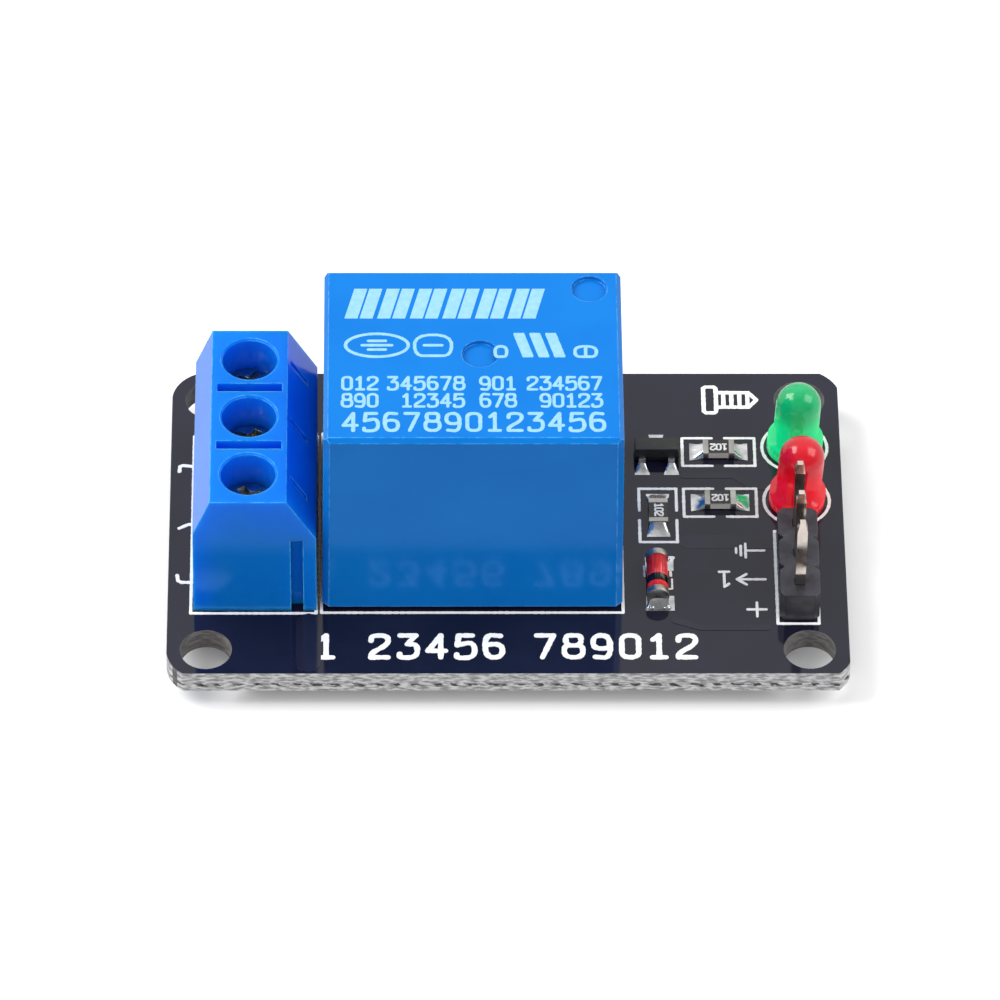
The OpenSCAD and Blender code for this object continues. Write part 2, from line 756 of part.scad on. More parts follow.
module chip_solder() {
    color(solder_grey) {
        for (i = [1 : 3], s = [0, 180]) at_chip(i) rotate([0, 0, s])
            end_fillet(chip[0] / 2, chip_pad / 2, chip[2] * 0.92 + chip_lift, 1.5, 1.1, chip_end);
        difference() {
            union() {
                gull_solder(-0.94, -1);
                gull_solder(0.94, -1);
                gull_solder(0, 1);
            }
            gull_lead(-0.94, -1);
            gull_lead(0.94, -1);
            gull_lead(0, 1);
            transistor_body();
        }
        // diode: hipped wedge against each cap and a bed under it
        difference() {
            for (s = [0, 1]) translate([9.68, diode_front + diode_length / 2, board_top])
                rotate([0, 0, s * 180 - 90]) {
                    end_fillet(diode_length / 2, diode_length / 2 + 0.52, 0.95, 1.76, 0.9, 0);
                    translate([diode_length / 2 - 0.75, -0.88, 0]) cube([0.75 + eps, 1.76, 0.16]);
                }
            diode_span(diode_front, diode_front + diode_length, diode_dia + 0.01);
        }
    }
}

// ---- Pieces ----

circuit_board();
terminal_housing();
clamp_cage(1);  // clamp_cage_1
clamp_cage(2);  // clamp_cage_2
clamp_cage(3);  // clamp_cage_3
wire_guard(1);  // wire_guard_1
wire_guard(2);  // wire_guard_2
wire_guard(3);  // wire_guard_3
clamp_screw(1);  // clamp_screw_1
clamp_screw(2);  // clamp_screw_2
clamp_screw(3);  // clamp_screw_3
relay_case();
relay_base();
relay_bobbin();
relay_coil_winding();
relay_core();
relay_yoke();
relay_armature();
relay_contact_blade();
relay_no_terminal();
relay_nc_terminal();
relay_coil_pin(-1);  // relay_coil_pin_1
relay_coil_pin(1);  // relay_coil_pin_2
header_housing();
header_pin_piece(1);  // header_pin_1
header_pin_piece(2);  // header_pin_2
header_pin_piece(3);  // header_pin_3
green_lamp_lens();
green_lamp_anode();
green_lamp_cathode();
red_lamp_lens();
red_lamp_anode();
red_lamp_cathode();
resistor(1);  // resistor_1
resistor(2);  // resistor_2
resistor(3);  // resistor_3
resistor_ends(1);  // resistor_ends_1
resistor_ends(2);  // resistor_ends_2
resistor_ends(3);  // resistor_ends_3
transistor_body();
transistor_base_lead();
transistor_emitter_lead();
transistor_collector_lead();
diode_glass();
diode_front_cap();
diode_back_cap();
terminal_solder();
relay_solder();
header_solder();
lamp_solder();
chip_solder();
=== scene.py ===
"""Looks of the relay module board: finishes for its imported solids, prints, copper, solder and the stage."""

import json
import math

import bmesh
import bpy
import numpy as np
from bpy.props import FloatProperty, FloatVectorProperty, IntProperty, PointerProperty
from mathutils import Matrix, Vector

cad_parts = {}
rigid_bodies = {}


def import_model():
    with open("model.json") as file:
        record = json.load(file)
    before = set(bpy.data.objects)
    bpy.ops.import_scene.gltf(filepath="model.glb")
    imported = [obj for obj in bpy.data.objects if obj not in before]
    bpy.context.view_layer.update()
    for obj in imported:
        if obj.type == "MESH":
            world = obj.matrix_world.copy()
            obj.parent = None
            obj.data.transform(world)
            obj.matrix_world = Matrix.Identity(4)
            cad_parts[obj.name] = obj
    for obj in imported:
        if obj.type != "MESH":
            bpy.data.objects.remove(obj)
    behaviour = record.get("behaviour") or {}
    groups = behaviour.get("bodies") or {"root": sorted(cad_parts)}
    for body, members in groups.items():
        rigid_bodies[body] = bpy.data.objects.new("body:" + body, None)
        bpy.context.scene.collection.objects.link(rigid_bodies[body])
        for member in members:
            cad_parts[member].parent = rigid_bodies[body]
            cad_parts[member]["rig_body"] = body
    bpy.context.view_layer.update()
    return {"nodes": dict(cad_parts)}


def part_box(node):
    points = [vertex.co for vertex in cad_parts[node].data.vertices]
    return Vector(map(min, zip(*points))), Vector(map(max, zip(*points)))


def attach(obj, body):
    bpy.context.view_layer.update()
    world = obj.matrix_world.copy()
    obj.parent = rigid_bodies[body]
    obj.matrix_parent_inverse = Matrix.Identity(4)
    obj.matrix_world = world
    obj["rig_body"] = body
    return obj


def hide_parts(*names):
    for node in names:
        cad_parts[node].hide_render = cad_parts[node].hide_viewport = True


bl_info = {
    "name": "Relay module board looks",
    "version": (1, 0, 0),
    "blender": (4, 5, 0),
    "location": "3D View > Sidebar > Relay board",
    "description": "Dresses the relay module board with its finishes, prints, copper and solder",
    "category": "Object",
}

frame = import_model()
NODES = frame["nodes"]
MM = 0.001
POLES = (1, 2, 3)


def linear(code):
    """A colour written as sRGB hex, turned to linear red, green and blue by the sRGB curve."""
    value = np.array([int(code[i : i + 2], 16) for i in (1, 3, 5)]) / 255
    low = value / 12.92
    high = ((value + 0.055) / 1.055) ** 2.4
    return tuple(float(x) for x in np.where(value <= 0.04045, low, high))


def rgba(colour):
    """A colour with full cover, from sRGB hex or from linear red, green and blue."""
    return (*(linear(colour) if isinstance(colour, str) else colour), 1.0)


# ---------------- places


def span(node):
    """Lowest and highest corner of a node in millimetres."""
    low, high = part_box(node)
    return np.array(low) / MM, np.array(high) / MM


def middle(node):
    """Centre of a node's box in millimetres."""
    low, high = span(node)
    return (low + high) / 2


# ---------------- meshes


def stand(name, mesh, body, material, smooth):
    """Puts a mesh in the scene with its material, riding on a body. Smooth is the angle in degrees
    under which neighbouring faces shade as one, or None for flat faces."""
    if smooth is not None:
        mesh.shade_smooth()
        mesh.set_sharp_from_angle(angle=math.radians(smooth))
    mesh.materials.clear()
    mesh.materials.append(material)
    obj = bpy.data.objects.new(name, mesh)
    bpy.context.scene.collection.objects.link(obj)
    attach(obj, body)
    return obj


def new_piece(name, parts, body, material, smooth=None):
    """A piece joined from parts, each an array of points in millimetres and a list of faces."""
    points, faces, first = [], [], 0
    for some_points, some_faces in parts:
        points.append(some_points)
        faces += [[first + k for k in face] for face in some_faces]
        first += len(some_points)
    mesh = bpy.data.meshes.new(name)
    mesh.from_pydata((np.concatenate(points) * MM).tolist(), [], faces)
    mesh.validate()
    return stand(name, mesh, body, material, smooth)


def prisms(rings, low, high):
    """Closed prisms over flat rings of points, an array of count by corners by 2, each standing
    from its low to its high level. Returns points and faces."""
    count, corners, _ = rings.shape
    levels = np.stack([np.broadcast_to(low, count), np.broadcast_to(high, count)], axis=1)
    flat = np.repeat(rings[:, None], 2, axis=1)
    tall = np.broadcast_to(levels[:, :, None, None], (count, 2, corners, 1))
    points = np.concatenate([flat, tall], axis=3).reshape(-1, 3)
    below = np.arange(count)[:, None] * 2 * corners
    above = below + corners
    around = np.arange(corners)
    ahead = (around + 1) % corners
    bottoms = (below + around[::-1]).tolist()
    tops = (above + around).tolist()
    sides = np.stack([below + around, below + ahead, above + ahead, above + around], axis=2)
    return points, bottoms + tops + sides.reshape(-1, 4).tolist()


def capsules(starts, ends, widths, round_points=7):
    """Outlines of straight strokes with round ends: half a circle about each end, joined. The
    result has one ring of points for each stroke."""
    starts, ends = np.asarray(starts, float), np.asarray(ends, float)
    along = ends - starts
    heading = np.arctan2(along[:, 1], along[:, 0])[:, None]
    turn = np.linspace(-math.pi / 2, math.pi / 2, round_points)[None, :]
    radius = np.broadcast_to(np.asarray(widths, float), len(starts))[:, None, None] / 2
    front = np.stack([np.cos(heading + turn), np.sin(heading + turn)], axis=2)
    return np.concatenate([ends[:, None] + radius * front, starts[:, None] - radius * front], axis=1)


def rounded_line(points, rounds=2):
    """A line with its corners cut again and again, each corner giving way to the quarter points of
    the two stretches beside it, while the ends stay."""
    line = np.asarray(points, float)
    for _ in range(rounds):
        quarter, three = line[:-1] * 0.75 + line[1:] * 0.25, line[:-1] * 0.25 + line[1:] * 0.75
        cut = np.stack([quarter, three], axis=1).reshape(-1, 2)
        line = np.concatenate([line[:1], cut, line[-1:]])
    return line


def oval_line(centre, reach, count):
    """A closed oval: centre plus reach times cosine and sine of an even run of angles."""
    angle = np.linspace(0, 2 * math.pi, count + 1)
    return np.asarray(centre) + reach * np.stack([np.cos(angle), np.sin(angle)], axis=1)


def box_line(low, high):
    """The four sides of a rectangle as one closed line."""
    (a, b), (c, d) = low, high
    return np.array([(a, b), (c, b), (c, d), (a, d), (a, b)], float)


def stretches(line, longest):
    """A line with points added so that no stretch is longer than asked: each point is read off at
    an even run of distances along the line, and the corners are kept."""
    line = np.asarray(line, float)
    away = np.concatenate([[0], np.cumsum(np.hypot(*np.diff(line, axis=0).T))])
    marks = np.unique(np.concatenate([away, np.linspace(0, away[-1], max(2, round(away[-1] / longest)))]))
    return np.stack([np.interp(marks, away, line[:, 0]), np.interp(marks, away, line[:, 1])], axis=1)


def strokes(lines, width, wander=0.0):
    """Rings for lines of one stroke width, a capsule for each stretch. With wander the width swells
    and shrinks by about that share, by sines of the place, as ink does at its edge."""
    if wander:
        lines = [stretches(line, 0.2) for line in lines]
    starts = np.concatenate([np.asarray(line, float)[:-1] for line in lines])
    ends = np.concatenate([np.asarray(line, float)[1:] for line in lines])
    x, y = ((starts + ends) / 2).T
    swell = np.sin(9.1 * x + 4.3 * y + 1) * np.cos(8.3 * y - 5.9 * x) + 0.6 * np.sin(17.0 * x - 13.0 * y)
    return capsules(starts, ends, width * (1 + wander * swell))


def layered(rings, level, thick, step=0.0001):
    """Prisms whose tops differ by a hair, in turn, so that overlapping strokes never share a plane.
    A negative thickness lets them hang below the level."""
    heights = 59
    rise = abs(thick) + step * (np.arange(len(rings)) % heights)
    return prisms(rings, level, level + rise) if thick > 0 else prisms(rings, level - rise, level)


def printed(runs, level, thick, step, wander):
    """Ink for several runs of lines, each with its stroke width and a step higher than the last."""
    return [
        layered(strokes(lines, width, wander), level, thick + step * k)
        for k, (width, lines) in enumerate(runs)
    ]


# Plain numerals as lines in a box 0.6 wide and 1 tall: (rounded or not, points)
NUMERALS = {
    "0": [(True, [(0, 0.5), (0, 1), (0.6, 1), (0.6, 0.5), (0.6, 0), (0, 0), (0, 0.5)])],
    "1": [(False, [(0.1, 0.8), (0.32, 1), (0.32, 0)]), (False, [(0.08, 0), (0.56, 0)])],
    "2": [
        (True, [(0, 0.76), (0.02, 1), (0.6, 1), (0.62, 0.6), (0, 0.2), (0, 0)]),
        (False, [(0, 0), (0.6, 0)]),
    ],
    "3": [
        (False, [(0.02, 1), (0.58, 1), (0.26, 0.6)]),
        (True, [(0.26, 0.6), (0.64, 0.6), (0.62, 0), (0, -0.02), (0, 0.16)]),
    ],
    "4": [(False, [(0.45, 0), (0.45, 1), (0, 0.3), (0.62, 0.3)])],
    "5": [
        (False, [(0.56, 1), (0.07, 1), (0.03, 0.56)]),
        (True, [(0.03, 0.56), (0.62, 0.72), (0.66, 0), (0, -0.04), (0, 0.14)]),
    ],
    "6": [(True, [(0.54, 0.98), (0, 1.04), (0, 0), (0.6, 0), (0.62, 0.6), (0.02, 0.6), (0.01, 0.3)])],
    "7": [(False, [(0, 1), (0.6, 1), (0.2, 0)])],
    "8": [
        (True, [(0.3, 1), (0.58, 1), (0.56, 0.54), (0.04, 0.54), (0.02, 1), (0.3, 1)]),
        (True, [(0.3, 0.54), (0.64, 0.54), (0.62, 0), (-0.02, 0), (-0.04, 0.54), (0.3, 0.54)]),
    ],
    "9": [(True, [(0.06, 0.02), (0.6, -0.04), (0.6, 1), (0, 1), (-0.02, 0.4), (0.58, 0.4), (0.59, 0.7)])],
}


def numeral_lines(groups, height, stretch=1.0):
    """Lines of rows of numerals. Each group gives its numerals, the left end, the base line and the
    pitch, and each numeral's box is scaled to the height and stretched in width."""
    lines = []
    for text, left, base, pitch in groups:
        for place, sign in enumerate(text):
            for rounded, points in NUMERALS[sign]:
                line = rounded_line(points) if rounded else np.asarray(points, float)
                x = left + place * pitch + line[:, 0] * stretch * height
                lines.append(np.stack([x, base + line[:, 1] * height], axis=1))
    return lines


def turned(lines, centre, angle):
    """Lines turned about a centre by an angle in degrees."""
    c, s = math.cos(math.radians(angle)), math.sin(math.radians(angle))
    spin = np.array([[c, -s], [s, c]])
    return [(np.asarray(line) - centre) @ spin.T + centre for line in lines]


def sheet_on_board(top, level, turn, centre):
    """Closes a grid of points above the board, rows by columns by 3, with a flat bottom on the
    level, and turns it about the upright axis and moves it to its centre."""
    rows, columns, _ = top.shape
    c, s = math.cos(math.radians(turn)), math.sin(math.radians(turn))
    x, y, z = np.moveaxis(top, 2, 0)
    placed = np.stack([c * x - s * y, s * x + c * y, z], axis=2) + np.array([*centre, level])
    bottom = placed.copy()
    bottom[..., 2] = level
    points = np.concatenate([placed.reshape(-1, 3), bottom.reshape(-1, 3)])
    k = (np.arange(rows - 1)[:, None] * columns + np.arange(columns - 1)[None]).ravel()
    quads = np.stack([k, k + columns, k + columns + 1, k + 1], axis=1)
    row, column = np.arange(rows) * columns, np.arange(columns)
    border = np.concatenate([column, row[1:] + columns - 1, row[-1] + column[-2::-1], row[-2:0:-1]])
    ahead, under = np.roll(border, -1), rows * columns
    walls = np.stack([border, ahead, ahead + under, border + under], axis=1)
    return points, quads.tolist() + (quads[:, ::-1] + under).tolist() + walls.tolist()


def fillet(start, reach, narrow, wide, tall, foot=0.04):
    """Solder drawn up a standing face, as a grid: its height falls from tall to foot with the power
    1.7 of what is left of the way, its width grows from narrow to wide, and its cross-section is a
    flat-topped bow."""
    along, across = np.meshgrid(np.linspace(0, 1, 15), np.linspace(-1, 1, 17), indexing="ij")
    half = (narrow + (wide - narrow) * along**0.7) / 2
    bow = (1 - np.abs(across) ** 4) ** 0.6
    height = foot + (tall - foot) * (1 - along) ** 1.7 * bow - foot * 0.5 * along**6
    return np.stack([start + (reach - start) * along, -half * across, height], axis=2)


def mound(half_x, half_y, tall):
    """A solder bump, as a grid: an oval whose height is a quarter circle of the way to its rim."""
    away, turn = np.meshgrid(np.linspace(0.02, 1, 10), np.linspace(0, 2 * math.pi, 29), indexing="ij")
    height = tall * np.sqrt(np.clip(1 - away**2, 0, 1)) + 0.004
    return np.stack([half_x * away * np.cos(turn), half_y * away * np.sin(turn), height], axis=2)


def welded_copy(node, suffix, material, round_mm=0.0, smooth=35):
    """Stands for a node with the same form: its triangles are welded, and its sharp edges are
    rounded by a bevel of the given radius in millimetres."""
    source, name = NODES[node], f"{node}_{suffix}"
    work = bmesh.new()
    work.from_mesh(source.data)
    bmesh.ops.remove_doubles(work, verts=work.verts, dist=2e-7)
    bmesh.ops.dissolve_degenerate(work, edges=work.edges, dist=5e-7)
    mesh = bpy.data.meshes.new(name)
    work.to_mesh(mesh)
    work.free()
    obj = stand(name, mesh, source["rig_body"], material, smooth)
    if round_mm:
        bevel = obj.modifiers.new("rounded_edges", "BEVEL")
        bevel.width = round_mm * MM
        bevel.segments = 2
        bevel.limit_method = "ANGLE"
        bevel.angle_limit = math.radians(smooth)
        bevel.harden_normals = True
        bevel.miter_outer = "MITER_ARC"
    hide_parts(node)
    return obj


def flatten_planes(mesh, least_mm2=6.0):
    """Lets the broad planes of a mesh shade flat: the faces of each facing are counted together by
    area, and those with more than the least area lose their smooth shading."""
    count = len(mesh.polygons)
    normals, areas = np.empty(count * 3), np.empty(count)
    mesh.polygons.foreach_get("normal", normals)
    mesh.polygons.foreach_get("area", areas)
    _, facing = np.unique(np.round(normals.reshape(-1, 3), 3) + 0.0, axis=0, return_inverse=True)
    facing = facing.ravel()
    broad = np.bincount(facing, areas)[facing] > least_mm2 * MM**2
    mesh.polygons.foreach_set("use_smooth", ~broad)


def dress(node, material):
    """Gives a node the material in every slot it has."""
    mesh = NODES[node].data
    if not mesh.materials:
        mesh.materials.append(material)
    for i in range(len(mesh.materials)):
        mesh.materials[i] = material


# ---------------- materials


def feed(tree, socket, value):
    """Links a socket to an output, to a node's first output or to a pair of node and output, or
    else sets it to a constant."""
    if isinstance(value, bpy.types.Node):
        value = value.outputs[0]
    elif isinstance(value, tuple) and isinstance(value[0], bpy.types.Node):
        value = value[0].outputs[value[1]]
    if isinstance(value, bpy.types.NodeSocket):
        tree.links.new(value, socket)
    else:
        socket.default_value = value


def add(tree, kind, inputs=None, **settings):
    """Adds a shader node, changes its settings and feeds its inputs."""
    node = tree.nodes.new("ShaderNode" + kind)
    for key, value in settings.items():
        setattr(node, key, value)
    for key, value in (inputs or {}).items():
        feed(tree, node.inputs[key], value)
    return node


# For each socket of the shader: the mix node's data type, its first input and its output
MIX_TYPES = {"Base Color": ("RGBA", 6, 2), "Roughness": ("FLOAT", 2, 0), "Normal": ("VECTOR", 4, 1)}


def overlay(tree, shader, name, factor, other, under=False, **settings):
    """Mixes another colour, value or direction with what feeds a socket of the shader. The factor
    is the share of the other or, with under, the share of what was there."""
    kind, first, output = MIX_TYPES[name]
    pair = [shader.inputs[name].links[0].from_socket, other]
    if under:
        pair.reverse()
    mix = add(tree, "Mix", {0: factor, first: pair[0], first + 1: pair[1]}, data_type=kind, **settings)
    feed(tree, shader.inputs[name], (mix, output))


def opened(material):
    """The tree of a finish, its shader and its object coordinates in millimetres."""
    tree = material.node_tree
    return tree, tree.nodes["Principled BSDF"], tree.nodes["place"]


def surface(name, shade, second, drift_mm, rough, grain_mm, relief_mm, edge_mm=0.0, **sockets):
    """A finish whose colour wanders between two shades over drift_mm, whose roughness wanders
    between two values and whose surface rises and falls by relief_mm over grain_mm. With edge_mm,
    sharp edges shade as if rounded by that radius."""
    material = bpy.data.materials.new(name)
    material.use_nodes = True
    tree = material.node_tree
    where = add(tree, "TexCoord")
    add(tree, "Mapping", {"Vector": (where, "Object"), "Scale": (1 / MM, 1 / MM, 1 / MM)}, name="place")
    tree, shader, place = opened(material)
    drift = add(tree, "TexNoise", {"Vector": place, "Scale": 1 / drift_mm, "Detail": 3.0})
    spread = add(tree, "MapRange", {0: drift, 1: 0.35, 2: 0.65})
    colour = add(tree, "Mix", {0: spread, 6: rgba(shade), 7: rgba(second)}, data_type="RGBA")
    grain = add(tree, "TexNoise", {"Vector": place, "Scale": 1 / grain_mm, "Detail": 2.0})
    gloss = add(tree, "MapRange", {0: grain, 1: 0.3, 2: 0.7, 3: rough[0], 4: rough[1]})
    relief = add(tree, "Bump", {"Distance": relief_mm * MM, "Height": grain})
    if edge_mm:
        soft = add(tree, "Bevel", {"Radius": edge_mm * MM}, samples=4)
        feed(tree, relief.inputs["Normal"], soft)
    sockets.update(Base_Color=(colour, 2), Roughness=gloss, Normal=relief)
    for key, value in sockets.items():
        feed(tree, shader.inputs[key.replace("_", " ")], value)
    return material


def board_finish():
    """Black epoxy solder mask over glass cloth laminate. The mask is a smooth gloss with a soft ripple;
    the routed edges show pale cloth layers with dark yarn ends, and the drilled walls a darker khaki grey,
    painted shade."""
    shades = ("#141424", "#1A1A2C")
    material = surface("solder_mask_on_glass_epoxy", *shades, 5.0, (0.05, 0.09), 1.6, 0.003, IOR=1.47)
    tree, shader, place = opened(material)
    low, high = (corner.tolist() for corner in span("circuit_board"))
    # Cloth of 0.2 mm plies: the cut fibres show as flat streaks, about 0.6 mm long
    plies = add(tree, "Mapping", {"Vector": place, "Scale": (1.6, 1.6, 5.5)})
    yarn = add(tree, "TexNoise", {"Vector": plies, "Scale": 1.0, "Detail": 4.0})
    hatch = add(tree, "MapRange", {0: yarn, 1: 0.40, 2: 0.60})
    cloth = add(tree, "Mix", {0: hatch, 6: rgba("#98979A"), 7: rgba("#E6E6E6")}, data_type="RGBA")
    # Torn yarn ends: a broken dark line a third of the way up, with an end every 1.25 mm
    ends = {"Vector": place, "Scale": 0.50, "Distortion": 3.6, "Detail": 3.0, "Detail Scale": 1.3}
    dash = add(tree, "TexWave", ends, bands_direction="DIAGONAL")
    torn = add(tree, "MapRange", {0: dash, 1: 0.46, 2: 0.64})
    spot = add(tree, "SeparateXYZ", {0: place})
    sway = add(tree, "Math", {0: yarn, 1: 0.7, 2: low[2] + 0.22}, operation="MULTIPLY_ADD")
    off = add(tree, "Math", {0: (spot, "Z"), 1: sway}, operation="SUBTRACT")
    away = add(tree, "Math", {0: off}, operation="ABSOLUTE")
    band = add(tree, "MapRange", {0: away, 1: 0.05, 2: 0.16, 3: 0.95, 4: 0.0})
    rim = add(tree, "Math", {0: torn, 1: band}, operation="MULTIPLY")
    layers = add(tree, "Mix", {0: rim, 6: (cloth, 2), 7: rgba("#2B2724")}, data_type="RGBA")
    # The drilled walls, away from the board's outline, are khaki grey: painted shade inside the holes
    inside = add(tree, "VectorMath", {0: place}, operation="ABSOLUTE")
    reach = add(tree, "SeparateXYZ", {0: inside})
    left = add(tree, "Math", {0: (reach, "X"), 1: high[0] - 0.4}, operation="LESS_THAN")
    front = add(tree, "Math", {0: (reach, "Y"), 1: high[1] - 0.3}, operation="LESS_THAN")
    drilled = add(tree, "Math", {0: left, 1: front}, operation="MULTIPLY")
    painted_hole_shade = add(tree, "Mix", {0: hatch, 6: rgba("#5C5A5A"), 7: rgba("#7C7A78")}, data_type="RGBA")
    layers = add(tree, "Mix", {0: drilled, 6: (layers, 2), 7: (painted_hole_shade, 2)}, data_type="RGBA")
    # Dust: here and there a pale speck of about 0.1 mm
    cells = add(tree, "TexVoronoi", {"Vector": place, "Scale": 0.33}, feature="F1")
    speck = add(tree, "MapRange", {0: (cells, "Distance"), 1: 0.018, 2: 0.03, 3: 0.55, 4: 0.0})
    overlay(tree, shader, "Base Color", speck, rgba("#B8B8BC"))
    # The mask covers the faces that look up or down
    facing = add(tree, "NewGeometry")
    parts = add(tree, "SeparateXYZ", {0: (facing, "Normal")})
    level = add(tree, "Math", {0: (parts, "Z")}, operation="ABSOLUTE")
    masked = add(tree, "Math", {0: level, 1: 0.5}, operation="GREATER_THAN")
    sawn = add(tree, "Bump", {"Distance": 0.04 * MM, "Height": yarn})
    for name, bare in (("Base Color", (layers, 2)), ("Roughness", 0.75), ("Normal", sawn)):
        overlay(tree, shader, name, masked, bare, under=True)
    return material


def mask_over_copper():
    """The same mask where it lies over a track: copper below makes it a touch lighter."""
    shades = ("#1B1B2A", "#222232")
    return surface("solder_mask_over_copper", *shades, 4.0, (0.05, 0.1), 1.6, 0.003, IOR=1.47)


def blue_moulding(name, shade, second, rough, relief_mm, edge_mm, **sockets):
    """Blue moulded plastic whose pigment colours even the gloss near the surface. Its sharp edges
    carry a broken line of paler blue, a painted highlight where light would catch the rounded edges."""
    sockets.update(IOR=1.5, Specular_Tint=rgba("#4FA8FF"))
    material = surface(name, shade, second, 6.0, rough, 0.22, relief_mm, edge_mm, **sockets)
    tree, shader, place = opened(material)
    # Painted highlight: paler blue along every sharp edge, found from the bevel normal and broken by noise
    facing = add(tree, "NewGeometry")
    soft = add(tree, "Bevel", {"Radius": 0.11 * MM}, samples=4)
    agree = add(tree, "VectorMath", {0: (facing, "Normal"), 1: soft}, operation="DOT_PRODUCT")
    painted_edge_highlight = add(tree, "MapRange", {0: (agree, "Value"), 1: 0.995, 2: 0.93})
    highlight_breakup = add(tree, "TexNoise", {"Vector": place, "Scale": 1 / 0.6, "Detail": 3.0})
    broken = add(tree, "MapRange", {0: highlight_breakup, 1: 0.40, 2: 0.56, 3: 0.2, 4: 1.0})
    line = add(tree, "Math", {0: painted_edge_highlight, 1: broken}, operation="MULTIPLY")
    overlay(tree, shader, "Base Color", line, rgba("#5CB2FC"))
    return material


def resistor_finish():
    """Thick-film chip: white alumina body whose top carries a black glass overcoat."""
    shades = ("#141416", "#1E1E22")
    material = surface("alumina_with_black_overcoat", *shades, 0.9, (0.18, 0.3), 0.12, 0.002, IOR=1.55)
    tree, shader, _ = opened(material)
    facing = add(tree, "NewGeometry")
    parts = add(tree, "SeparateXYZ", {0: (facing, "Normal")})
    top = add(tree, "Math", {0: (parts, "Z"), 1: 0.6}, operation="GREATER_THAN")
    overlay(tree, shader, "Base Color", top, rgba("#CFCBC0"), under=True)
    return material


def diode_finish():
    """Sealed glass diode: clear orange-red glass with a painted black band near its front end."""
    shades = ("#E01620", "#F2383C")
    material = surface("diode_glass_with_band", *shades, 0.8, (0.06, 0.12), 0.4, 0.004, IOR=1.52)
    tree, shader, place = opened(material)
    low, high = (corner.tolist() for corner in span("diode_glass"))
    parts = add(tree, "SeparateXYZ", {0: place})
    along = add(tree, "MapRange", {0: (parts, "Y"), 1: low[1], 2: high[1]})
    ramp = add(tree, "ValToRGB", {0: along})
    bands = ramp.color_ramp
    bands.interpolation = "CONSTANT"
    stops = [(0.0, "#FFFFFF"), (0.17, "#0A0505"), (0.40, "#FFFFFF")]
    while len(bands.elements) < len(stops):
        bands.elements.new(1.0)
    for element, (at, code) in zip(bands.elements, stops):
        element.position, element.color = at, rgba(code)
    overlay(tree, shader, "Base Color", 1.0, ramp, blend_type="MULTIPLY")
    return material


def lens_finish(name, shade, second, depth, glow, level):
    """Diffused epoxy lens, cast in a polished mould: a smooth skin over a milky body. Below the dome
    the body carries a painted glow, an emission that stands in for light gathered through its depth."""
    material = surface(
        name, shade, second, 1.4, (0.10, 0.16), 0.5, 0.002,
        IOR=1.53, Subsurface_Weight=1.0, Subsurface_Radius=depth, Subsurface_Scale=2 * MM,
        Emission_Color=rgba(glow),
    )
    tree, shader, place = opened(material)
    # Painted glow: none in the top of the dome and all of it from the foot of the dome down
    dome_top, dome_foot = 7.6, 5.8
    height = add(tree, "SeparateXYZ", {0: place})
    painted_glow_strength = add(tree, "MapRange", {0: (height, "Z"), 1: dome_top, 2: dome_foot, 3: 0.0, 4: level})
    feed(tree, shader.inputs["Emission Strength"], painted_glow_strength)
    return material


def metal(name, shade, second, rough, grain_mm=0.3, relief_mm=0.004):
    """A bare or plated metal: its colour and gloss wander with the plating's grain."""
    return surface(name, shade, second, 1.2, rough, grain_mm, relief_mm, Metallic=1.0)


def winding_finish():
    """Enamelled copper wire wound in layers: its turns show as ridges 0.24 mm apart round the coil."""
    shades = ("#B5521E", "#8A3A12")
    material = surface("enamelled_copper_wire", *shades, 2.0, (0.2, 0.35), 0.2, 0.003, Metallic=0.8)
    tree, shader, place = opened(material)
    turns = add(tree, "TexWave", {"Vector": place, "Scale": 1 / 0.756}, bands_direction="Z")
    ridges = add(tree, "Bump", {"Distance": 0.03 * MM, "Height": turns})
    feed(tree, shader.inputs["Normal"], ridges)
    return material


# ---------------- settings


def colour_setting(name, about, code):
    """A colour in the panel, from sRGB hex."""
    return FloatVectorProperty(
        name=name, description=about, subtype="COLOR", size=3, min=0, max=1, default=linear(code)
    )


def length_setting(name, about, mm, most_mm):
    """A length in the panel, from millimetres, and no shorter than a thousandth of one."""
    limits = {"min": 0.001 * MM, "max": most_mm * MM}
    return FloatProperty(name=name, description=about, default=mm * MM, unit="LENGTH", precision=6, **limits)


def level_setting(name, about, level, most, **kind):
    """A number from nought up in the panel."""
    return FloatProperty(name=name, description=about, default=level, min=0, max=most, **kind)


class RelayLooks(bpy.types.PropertyGroup):
    """Sizes and colours of the board's finishes and prints."""

    print_colour: colour_setting("Board print", "Colour of the screen print on the board", "#FAFAF8")
    relay_print_colour: colour_setting("Relay print", "Colour of the print on the relay's top", "#92C4E8")
    print_height: length_setting("Print height", "Thickness of the screen-printed ink", 0.022, 0.1)
    relay_print_height: length_setting("Relay print height", "Thickness of the pad-printed ink", 0.004, 0.1)
    outline_width: length_setting("Outline width", "Stroke width of the printed outlines", 0.19, 0.5)
    track_height: length_setting("Track height", "How far a masked track stands out", 0.012, 0.1)
    edge_round: length_setting("Edge rounding", "Radius on the moulded edges", 0.12, 0.5)
    thread_turns: IntProperty(
        name="Thread turns", description="Turns of thread on each clamping screw", default=7, min=1, max=12
    )


class RelayStage(bpy.types.PropertyGroup):
    """Light and floor of the studio."""

    left_power: level_setting("Left light", "Power of the softbox on the left", 3.4, 20, unit="POWER")
    right_power: level_setting("Right light", "Power of the softbox on the right", 1.5, 20, unit="POWER")
    sky_level: level_setting("Sky level", "Strength of the surrounding light on matt surfaces", 0.7, 2)
    front_level: level_setting(
        "Front level", "What gloss mirrors of the dim room in front, where the back is 1", 0.32, 1
    )
    floor_shadow: level_setting("Floor shadow", "How much of the object's shadow the floor keeps", 0.92, 1)


def looks():
    """The settings of the finishes and prints."""
    return bpy.context.scene.relay_board_looks


# ---------------- pieces


